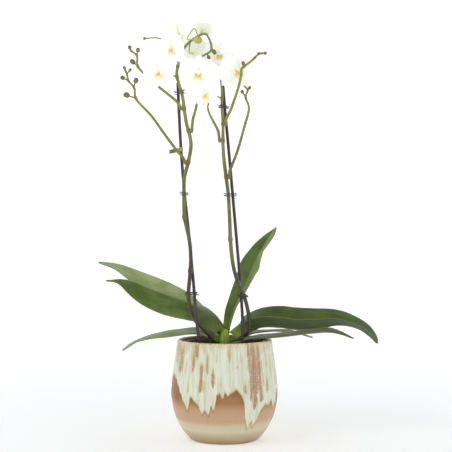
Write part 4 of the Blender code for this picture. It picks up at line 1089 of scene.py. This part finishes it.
def add_stalk(work, way, name):
    """A flower's stalk: green at the stem, paler and thicker behind the flower."""
    place = flower_frame(name)
    points = [above_rim(p) for p in way]
    points += [place @ Vector((0, 0, depth)) for depth in (-STALK_REACH, -STALK_REACH / 2, -0.0003)]
    route = even_route(smooth_route(points, 6), FINE_STEP)
    count = len(route)
    fresh = layer_of(work, "fresh")
    first = len(work.verts)
    radii = [SHOOT_RADIUS * (0.92 + 0.35 * smoothstep(0.6, 1.0, i / count)) for i in range(count)]
    shares = [i / count for i in range(count)]
    sweep(work, route, radii, 10, "fresh", [0.25 + 0.75 * smoothstep(0.1, 0.8, i) for i in shares])
    work.verts.ensure_lookup_table()
    for corner in work.verts[first:]:
        corner[fresh] = max(0.25, corner[fresh])


def make_spike(name, points, nodes, low, finish):
    """One flower spike with its joints, scales and flower stalks."""
    work = new_work("mark", "low", "fresh")
    joints = [at_height(points, height)[0] for height in nodes]
    jointed_stem(work, points, SPIKE_RADIUS, SHOOT_RADIUS * 1.15, joints, low)
    for step, height in enumerate(nodes[:3]):
        heading = heading_at(points, height)
        side = Vector((1, -0.35, 0)) if step % 2 else Vector((-1, -0.35, 0))
        side = (side - heading * side.dot(heading)).normalized()
        scale_leaf(work, above_rim(joints[step]), heading, side, SPIKE_RADIUS * 0.95, SPIKE_SCALE)
    for flower_name, way in STALKS[name].items():
        add_stalk(work, way, flower_name)
    close(work)
    put(f"jointed_{name}", work, finish, [name])


def branch_route(spike, height, onward):
    """A branch's route: square out of the spike's side, then onward."""
    centre, share = at_height(spike, height)
    out = Vector(onward[0]) - centre
    out.z = 0.0
    out.normalize()
    radius = drawn_out(share, SPIKE_RADIUS, SHOOT_RADIUS)
    near = centre + out * (radius + BRANCH_RADIUS * 1.2)
    return [centre + out * radius * 0.4, near] + [Vector(p) for p in onward]


def make_branch(name, finish, bud_material):
    """A side branch with its joints, and its buds as a second piece."""
    spike, height, onward, buds = BRANCHES[name]
    points = branch_route(spike, height, onward)
    work = new_work("mark", "low", "fresh")
    joints = [points[1]] + [Vector(bud[0]) for bud in buds]
    jointed_stem(work, points, BRANCH_RADIUS, SHOOT_RADIUS * 0.95, joints, None, FINE_STEP, 12)
    out = (points[1] - points[0]).normalized()
    heading = (points[3] - points[1]).normalized()
    scale_leaf(work, above_rim(points[1]) - Vector((0, 0, 0.0012)), heading,
               out * 0.4 - Vector((0, 0.5, 0.3)), BRANCH_RADIUS * 0.9, BRANCH_SCALE)
    for foot, _, tip, _, _ in buds:
        along = (Vector(tip) - Vector(foot)).normalized()
        scale_leaf(work, above_rim(foot), along, Vector((0, -0.5, -0.6)), SHOOT_RADIUS * 0.8, SHOOT_SCALE)
    for flower_name, way in STALKS.get(name, {}).items():
        add_stalk(work, way, flower_name)
    close(work)
    put(f"jointed_{name}", work, finish, [name])
    if buds:
        work = new_work("mark", "pale")
        for bud in buds:
            add_bud(work, *bud)
        close(work)
        put(f"{name}_buds", work, bud_material)


def make_crown(finish):
    """The crown: the short upright stem, greener where the leaves clasp it."""
    work = new_work("pale")
    pale = layer_of(work, "pale")
    rings = [(-0.040, 0.0058), (-0.025, 0.0068), (-0.014, 0.0074), (-0.006, 0.0076),
             (-0.001, 0.0074), (0.004, 0.0068), (0.008, 0.0058), (0.011, 0.0044), (0.0135, 0.0022)]
    route = [above_rim((*CROWN_AXIS, height)) for height, _ in rings]
    route = smooth_route(route, 3)
    radii = [p.x for p in smooth_route([Vector((r, 0, 0)) for _, r in rings], 3)]
    sweep(work, route, radii, 32)
    for corner in work.verts:
        corner[pale] = smoothstep(-0.016, 0.002, corner.co.z - RIM)
    close(work)
    put("leafy_crown", work, finish, ["crown"])


def crown_finish():
    """Fresh yellow-green skin, browner below."""
    f = Finish("fresh_crown", 0.42)
    pale = f.attribute("pale")
    mottle = f.noise(240.0, 4, 0.6, f.stretched((1, 1, 0.25)))
    green = f.mottled(mottle, (128, 158, 40), (166, 190, 70))
    brown = f.mottled(mottle, (92, 76, 44), (128, 116, 70))
    colour = f.mix(pale, brown, green)
    return f.finish(colour, f.fade(mottle, 0.3, 0.7, 0.36, 0.5), mottle, 0.0003, 0.5)


def make_root(side, finish):
    """A thick, slightly knobbly aerial root with a green tip."""
    work = new_work("mark")
    route = rim_route(ROOTS[side], 10, FINE_STEP)
    radii = [ROOT_RADIUS * (1 + 0.10 * noise.noise(place * 140)) for place in route]
    for step in range(5):
        radii[-1 - step] *= math.sqrt(1 - ((5 - step) / 5.2) ** 2)
    tips = [smoothstep(0.82, 0.95, step / len(route)) for step in range(len(route))]
    sweep(work, route, radii, 16, "mark", tips)
    close(work)
    put(f"silvery_root_{side}", work, finish, [f"root_{side}"])


def make_stake(side, points, finish):
    """A coated stake with a rounded top and bottom."""
    work = new_work("mark")
    route = rim_route(points, 8, STAKE_STEP)
    ahead, behind = (route[-1] - route[-2]).normalized(), (route[0] - route[1]).normalized()
    radii = [STAKE_RADIUS * (1 + 0.02 * noise.noise(place * 90)) for place in route]
    cap = [(math.sin(math.radians(turn)), math.cos(math.radians(turn))) for turn in (25, 50, 72, 86)]
    top = [route[-1] - ahead * STAKE_RADIUS * (1 - rise) for rise, _ in cap]
    base = [route[0] - behind * STAKE_RADIUS * (1 - rise) for rise, _ in cap]
    route[-1] -= ahead * STAKE_RADIUS
    route[0] -= behind * STAKE_RADIUS
    narrow = [STAKE_RADIUS * across for _, across in cap]
    sweep(work, base[::-1] + route + top, narrow[::-1] + radii + narrow, 16)
    close(work)
    put(f"coated_{side}_stake", work, finish, [f"{side}_stake"])


def make_clip(side, place, finish):
    """A spring clip: two slim hoops round spike and stake, joined, with prongs on each side."""
    stake, spike, heights = CLIP_HEIGHTS[side]
    height = heights[place]
    post, shoot = above_rim(at_height(stake, height)[0]), above_rim(at_height(spike, height)[0])
    heading = heading_at(spike, height)
    across = (post - shoot)
    across -= heading * across.dot(heading)
    across.normalize()
    side_way = heading.cross(across)
    work = new_work("mark")
    for level in (-CLIP_RISE, CLIP_RISE):
        for centre, start in ((shoot, 0), (post, 180)):
            route = []
            for turn in range(start + 38, start + 325, 12):
                angle = math.radians(turn)
                route.append(centre + heading * level + across * CLIP_HOOP * math.cos(angle)
                             + side_way * CLIP_HOOP * math.sin(angle))
            sweep(work, route, [CLIP_WIRE] * len(route), 8)
        for way in (-1, 1):
            middle = shoot.lerp(post, 0.5) + heading * level
            outer, inner = side_way * way * 0.0022, side_way * way * 0.0014
            route = [middle - across * CLIP_GRIP + outer, middle + inner,
                     middle + across * CLIP_GRIP + outer]
            sweep(work, smooth_route(route, 4), [0.0006] * 9, 8)
    draw = random.Random(len(place) + len(side) * 7)
    left = Vector((1, 0, 0))
    for way in (-1, 1):
        for rise in (-CLIP_RISE, 0.0002, 0.0016):
            centre = shoot if way * (shoot.x - post.x) > 0 else post
            out = (left * way + Vector((0, -0.45, 0)) + heading * draw.uniform(-0.35, 0.35)).normalized()
            root = centre + heading * rise + out * CLIP_HOOP * 0.95
            end = root + out * draw.uniform(0.0026, 0.0042)
            sweep(work, [root, root.lerp(end, 0.5), end], [CLIP_WIRE, 0.00045, 0.00030], 8)
    close(work)
    put(f"{side}_spring_clip_{place}", work, finish, [f"{side}_clip_{place}"])


def make_tape(finish):
    """Florist's tape folded round the left stake, its two tails pressed together."""
    post = above_rim(at_height(LEFT_STAKE, TAPE_HEIGHT)[0])
    radius, tail = STAKE_RADIUS + 0.0007, TAPE_TAIL
    wrap = math.pi * 1.35
    span = radius * wrap
    total = span + 2 * tail
    work = new_work("mark")
    fold = layer_of(work, "mark")
    for corner, t, s in sheet_grid(work, 90, 8):
        run = t * total
        frayed = 0.0012 * noise.noise(Vector((s * 4.0, t * 3.0, 2.0)))
        if run < tail:
            out, y = tail - run, 0.00042
        elif run > tail + span:
            out, y = run - tail - span, -0.00042
        else:
            out, y = None, 0.0
        if out is None:
            angle = math.tau - wrap * (0.5 - (run - tail) / span)
            x, y, out = radius * math.cos(angle), radius * math.sin(angle), 0.0
        else:
            ease = smoothstep(0.0, 0.004, out)
            x = -radius * 0.75 - out - frayed * smoothstep(0.010, 0.014, out)
            y = math.copysign(radius * 0.7, y) * (1 - ease) + y * ease + 0.0008 * math.sin(out * 420)
        corner.co = post + Vector((x, y, s * TAPE_WIDTH / 2 + (x + radius) * 0.22 - 0.0004))
        corner[fold] = smoothstep(0.0015, 0.0050, out)
    bmesh.ops.recalc_face_normals(work, faces=work.faces)
    piece = put("folded_florist_tape", work, finish, ["tape_flag"])
    thicken(piece, THIN_SHEET)


# ---- leaves -------------------------------------------------------------------------------------
def three_point(values, t):
    """Read a value given at the base, the middle and the tip, eased between them."""
    base, middle, tip = values
    if t < 0.5:
        return base + (middle - base) * smoothstep(0, 1, t * 2)
    return middle + (tip - middle) * smoothstep(0, 1, t * 2 - 1)


def leaf_width(t, base, slowness):
    """A strap that widens from its clasping base and draws in to its tip."""
    if t < 0.5:
        return base + (1 - base) * math.sin(math.pi * t) ** slowness
    return (1 - (2 * t - 1) ** 2) ** 0.85 + 0.012


def make_leaf(name, finish):
    """A keeled strap leaf: folded at its base, channelled, its margins waved and thin."""
    midrib, half_width, near_tilts, far_tilts, base, slowness = LEAVES[name]
    far_painted_lighting, near_painted_lighting, red, bow = LEAF_LOOKS[name]
    midrib = [Vector(p) for p in midrib]
    midrib[0] = midrib[0] + (midrib[0] - midrib[1]).normalized() * 0.0020
    route = smooth_route([above_rim(p) for p in midrib], 14)
    headings = [(b - a).normalized() for a, b in zip(route, route[1:])]
    headings = [(a + b).normalized() for a, b in zip(headings[:1] + headings, headings + headings[-1:])]
    work = new_work("pale", "red", "under")
    painted_lighting_mark, red_mark = (layer_of(work, n) for n in ("pale", "red"))
    seed = sum(ord(letter) for letter in name)
    for corner, u, s in sheet_grid(work, 118, 26):
        t = 1 - (1 - u) ** 1.35
        s = math.copysign(abs(s) ** 1.15, s)
        step = min(int(t * (len(route) - 1)), len(route) - 2)
        rest = t * (len(route) - 1) - step
        middle = route[step].lerp(route[step + 1], rest)
        tangent = headings[step].lerp(headings[step + 1], rest).normalized()
        near = tangent.cross(Vector((0, 0, 1))).normalized()
        if near.y > 0:
            near = -near
        up = near.cross(tangent)
        if up.z < 0:
            up = -up
        side = near if s < 0 else -near
        clasp = LEAF_CLASP * (1 - smoothstep(0.0, 0.12, t))
        tilt = three_point(near_tilts if s < 0 else far_tilts, t) + clasp
        tilt = math.radians(tilt + bow * (0.5 - abs(s) / 2))
        reach = half_width * leaf_width(t, base, slowness) * abs(s)
        wave = LEAF_WAVE * s * s * smoothstep(0.1, 0.4, t)
        wave *= math.sin(9.5 * t + seed + (1.3 if s < 0 else 0))
        ripple = LEAF_RIPPLE * noise.noise(Vector((t * 9, s * 1.5, seed)))
        corner.co = (middle + side * reach * math.cos(tilt) + up * (reach * math.sin(tilt) + wave + ripple))
        # painted light and shade: each half of the leaf is made paler (painted sheen and reflection) or
        # darker (painted shade)
        corner[painted_lighting_mark] = near_painted_lighting + (far_painted_lighting - near_painted_lighting) * smoothstep(-0.08, 0.08, s)
        corner[red_mark] = red
    bmesh.ops.recalc_face_normals(work, faces=work.faces)
    if sum(face.normal.z * face.calc_area() for face in work.faces) < 0:
        bmesh.ops.reverse_faces(work, faces=work.faces)
    add_underside(work)
    put(f"waxy_leaf_{name}", work, finish, [f"leaf_{name}"])


def add_underside(work):
    """Give a leaf its lower side, thin at its margins, and mark that side."""
    under = layer_of(work, "under")
    work.normal_update()
    border = {corner for corner in work.verts if corner.is_boundary}
    top = list(work.verts)
    made = bmesh.ops.duplicate(work, geom=work.verts[:] + work.edges[:] + work.faces[:])
    pairs = made["vert_map"]
    lower_faces = [item for item in made["geom"] if isinstance(item, bmesh.types.BMFace)]
    bmesh.ops.reverse_faces(work, faces=lower_faces)
    edges = [edge for edge in work.edges if edge.is_boundary]
    for corner in top:
        lower = pairs[corner]
        lower[under] = 1.0
        lower.co = corner.co - corner.normal * LEAF_THICKNESS * (0.3 if corner in border else 1.0)
    bmesh.ops.bridge_loops(work, edges=edges)
    bmesh.ops.recalc_face_normals(work, faces=work.faces)


# ---- flowers --------------------------------------------------------------------------------------
# kind: (half width and widest place as shares of the length, fullness, roundness of the tip)
LOBES = {"petal": (0.64, 0.58, 2.3, 0.62), "sepal": (0.33, 0.52, 2.0, 0.75)}


def lobe_width(kind, t):
    """Share of a lobe's half width at t along it."""
    _, widest, fullness, roundness = LOBES[kind]
    span = widest if t < widest else 1 - widest
    return max(0.02, (1 - abs((t - widest) / span) ** fullness) ** roundness)


def add_lobe(work, kind, turn, lift, cup, seed, green):
    """One petal or sepal, drawn out from the flower's heart."""
    half = FLOWER_LENGTH * LOBES[kind][0]
    is_petal = kind == "petal"
    pale, hub = layer_of(work, "pale"), layer_of(work, "mark")
    spin = Matrix.Rotation(math.radians(turn), 4, "Z")
    for corner, u, s in sheet_grid(work, 26, 18):
        t = 0.5 - 0.5 * math.cos(math.pi * (0.04 + 0.96 * u))
        reach = FLOWER_LENGTH * (0.03 + 0.97 * t)
        wide = half * lobe_width(kind, t) * s
        notch = is_petal * 0.0012 * math.exp(-(s / 0.25) ** 2) * smoothstep(0.85, 1.0, t)
        tip = FLOWER_LENGTH * 0.05 * abs(s) * smoothstep(0.7, 1.0, t)
        ruffle = PETAL_RUFFLE * smoothstep(0.35, 1.0, max(t, abs(s)) * t)
        ruffle *= noise.noise(Vector((t * 3.0, s * 2.4, seed)))
        crease = is_petal * 0.0012 * math.exp(-(s / 0.10) ** 2)
        channel = (1 - t) * (0.0016 * s * s - crease)
        bend = cup * reach * reach / FLOWER_LENGTH
        corner.co = spin @ Vector((reach - tip - notch, wide, lift + bend + channel + ruffle))
        corner[hub] = 1 - smoothstep(0.04, 0.42, t)
        corner[pale] = green


def make_flower(name, petal_material, lip_material):
    """Three sepals, two broad petals and a lip with its column."""
    place = flower_frame(name)
    green = GREENNESS.get(name, 0.0)
    seed = sum(ord(letter) for letter in name)
    closed = 0.30 if name == "top" else 0.0
    for part, lobes, lift, cup in (("sepals", (90, 222, 318), 0.0, -0.10 + closed),
                                   ("petals", (14, 166), 0.0011, 0.12 + closed)):
        work = new_work("mark", "pale")
        for turn in lobes:
            add_lobe(work, part[:-1], turn, lift, cup, seed + turn, green)
        bmesh.ops.recalc_face_normals(work, faces=work.faces)
        bmesh.ops.transform(work, matrix=place, verts=work.verts)
        piece = put(f"{name}_bloom_{part}", work, petal_material, [f"flower_{name}_{part}"])
        thicken(piece, PETAL_THICKNESS)
    make_lip(name, place, lip_material)


def make_lip(name, place, finish):
    """The column with its cap, two upright side lobes, the callus and the arrow-shaped tongue."""
    work = new_work("mark")
    mark = layer_of(work, "mark")
    column = [Vector((0, 0.0034, 0.0016)), Vector((0, 0.0036, 0.0038)), Vector((0, 0.0030, 0.0062)),
              Vector((0, 0.0014, 0.0080)), Vector((0, -0.0004, 0.0084))]
    sweep(work, smooth_route(column, 3), [0.0015, 0.0016, 0.0017, 0.0018, 0.0019, 0.0020, 0.0021, 0.0021,
                                          0.0021, 0.0020, 0.0017, 0.0012, 0.0006], 14, "mark", [0.08] * 13)
    for corner, t, s in sheet_grid(work, 20, 10):
        wide = 0.0012 + 0.0034 * math.exp(-((t - 0.38) / 0.20) ** 2) + 0.0012 * (1 - t)
        wide *= 1 - 0.75 * smoothstep(0.75, 1.0, t)
        drop = -0.0010 - 0.0138 * t
        corner.co = Vector((wide * s, drop, 0.0026 + 0.0075 * math.sin(t * 2.3) - 0.0010 * s * s))
        corner[mark] = 0.85 * (1 - smoothstep(0.15, 0.75, t))
    for way in (-1, 1):
        for corner, t, s in sheet_grid(work, 14, 8):
            wide = 0.0030 * math.sin(math.pi * (0.12 + 0.80 * t)) ** 0.8
            corner.co = Vector((way * (0.0016 + 0.0058 * t), -0.0012 + wide * s - 0.0012 * t,
                                0.0030 + 0.0062 * t - 0.0036 * t * t + 0.0010 * s * s))
            corner[mark] = 0.95 * (1 - smoothstep(0.25, 0.95, t))
        curl = [Vector((way * 0.0006, -0.0144, 0.0082)), Vector((way * 0.0022, -0.0160, 0.0084)),
                Vector((way * 0.0040, -0.0150, 0.0092)), Vector((way * 0.0040, -0.0132, 0.0098))]
        sweep(work, smooth_route(curl, 3), [0.00035] * 8 + [0.0003, 0.0002], 6, "mark", [0.35] * 10)
        knob = Matrix.Translation((way * 0.0011, -0.0016, 0.0054))
        for corner in bmesh.ops.create_icosphere(work, subdivisions=2, radius=0.0013, matrix=knob)["verts"]:
            corner[mark] = 1.0
    bmesh.ops.recalc_face_normals(work, faces=work.faces)
    bmesh.ops.transform(work, matrix=place, verts=work.verts)
    piece = put(f"{name}_bloom_lip", work, finish, [f"flower_{name}_lip"])
    thicken(piece, THIN_SHEET)


# ---- studio ---------------------------------------------------------------------------------------
COVE_BEND = 1.2


def soft_light(name, place, aim, size, power):
    """A round lamp turned to face a point."""
    lamp = bpy.data.lights.new(name, "AREA")
    lamp.shape = "DISK"
    lamp.size = size
    lamp.energy = power
    holder = bpy.data.objects.new(name, lamp)
    holder.location = place
    holder.rotation_euler = (Vector(aim) - Vector(place)).to_track_quat("-Z", "Y").to_euler()
    bpy.context.scene.collection.objects.link(holder)


def studio():
    """A pale round cove that glows with painted light, soft lights and the camera."""
    cove = [(0.0, 0.0), (1.0, 0.0), (2.2, 0.0)]
    for turn in range(10, 91, 10):
        angle = math.radians(turn)
        cove.append((2.4 + COVE_BEND * math.sin(angle), COVE_BEND * (1 - math.cos(angle))))
    cove.append((2.4 + COVE_BEND, 3.2))
    work = new_work()
    lathe(work, cove, 96)
    made_object("pale_cove", work, studio_finish())

    scene = bpy.context.scene
    scene.view_settings.view_transform = "Standard"
    world = bpy.data.worlds.new("white_room")
    world.use_nodes = True
    world.node_tree.nodes["Background"].inputs["Color"].default_value = WHITE
    world.node_tree.nodes["Background"].inputs["Strength"].default_value = 0.12
    scene.world = world
    soft_light("window_left", (-1.5, -1.3, 1.5), (0, 0, 0.25), 1.4, 8.5)
    soft_light("fill_right", (1.7, -1.0, 1.0), (0, 0, 0.25), 1.6, 3)
    soft_light("top_back", (0.2, 0.9, 2.2), (0, 0, 0.3), 1.8, 5)

    camera = bpy.data.cameras.new("camera")
    camera.lens = 88.85
    camera.sensor_width = 36.0
    holder = bpy.data.objects.new("camera", camera)
    holder.location = (0.002, -1.55, 0.295)
    holder.rotation_euler = (math.radians(90), 0.0, 0.0)
    scene.collection.objects.link(holder)
    scene.camera = holder


# ---- the whole plant ------------------------------------------------------------------------------
make_cachepot(glaze_finish())
make_grower_pot(clear_plastic_finish())
bark_material = bark_finish()
make_bark_bed(bark_material)
make_chips(bark_material)
make_crown(crown_finish())
root_material = root_finish()
for side in ROOTS:
    make_root(side, root_material)
leaf_material = leaf_finish()
for leaf_name in LEAVES:
    make_leaf(leaf_name, leaf_material)
stem_material = stem_finish()
closed_bud_material = bud_finish()
make_spike("left_spike", LEFT_SPIKE, LEFT_NODES, (0.10, 0.19), stem_material)
make_spike("right_spike", RIGHT_SPIKE, RIGHT_NODES, (0.06, 0.15), stem_material)
for branch_name in BRANCHES:
    make_branch(branch_name, stem_material, closed_bud_material)
bud_work = new_work("mark", "pale")
for step, bud_sizes in enumerate(LEFT_BUDS):
    add_bud(bud_work, *bud_sizes, paleness=0.9 if step == 2 else 0.1)
close(bud_work)
put("left_spike_buds", bud_work, closed_bud_material)
stake_material = stake_finish()
make_stake("left", LEFT_STAKE, stake_material)
make_stake("right", RIGHT_STAKE, stake_material)
clip_material = clip_finish()
for side, (_, _, heights) in CLIP_HEIGHTS.items():
    for place_name in heights:
        make_clip(side, place_name, clip_material)
make_tape(tape_finish())
petal_material, lip_material = petal_finish(), lip_finish()
for flower_name in FLOWERS:
    make_flower(flower_name, petal_material, lip_material)
studio()
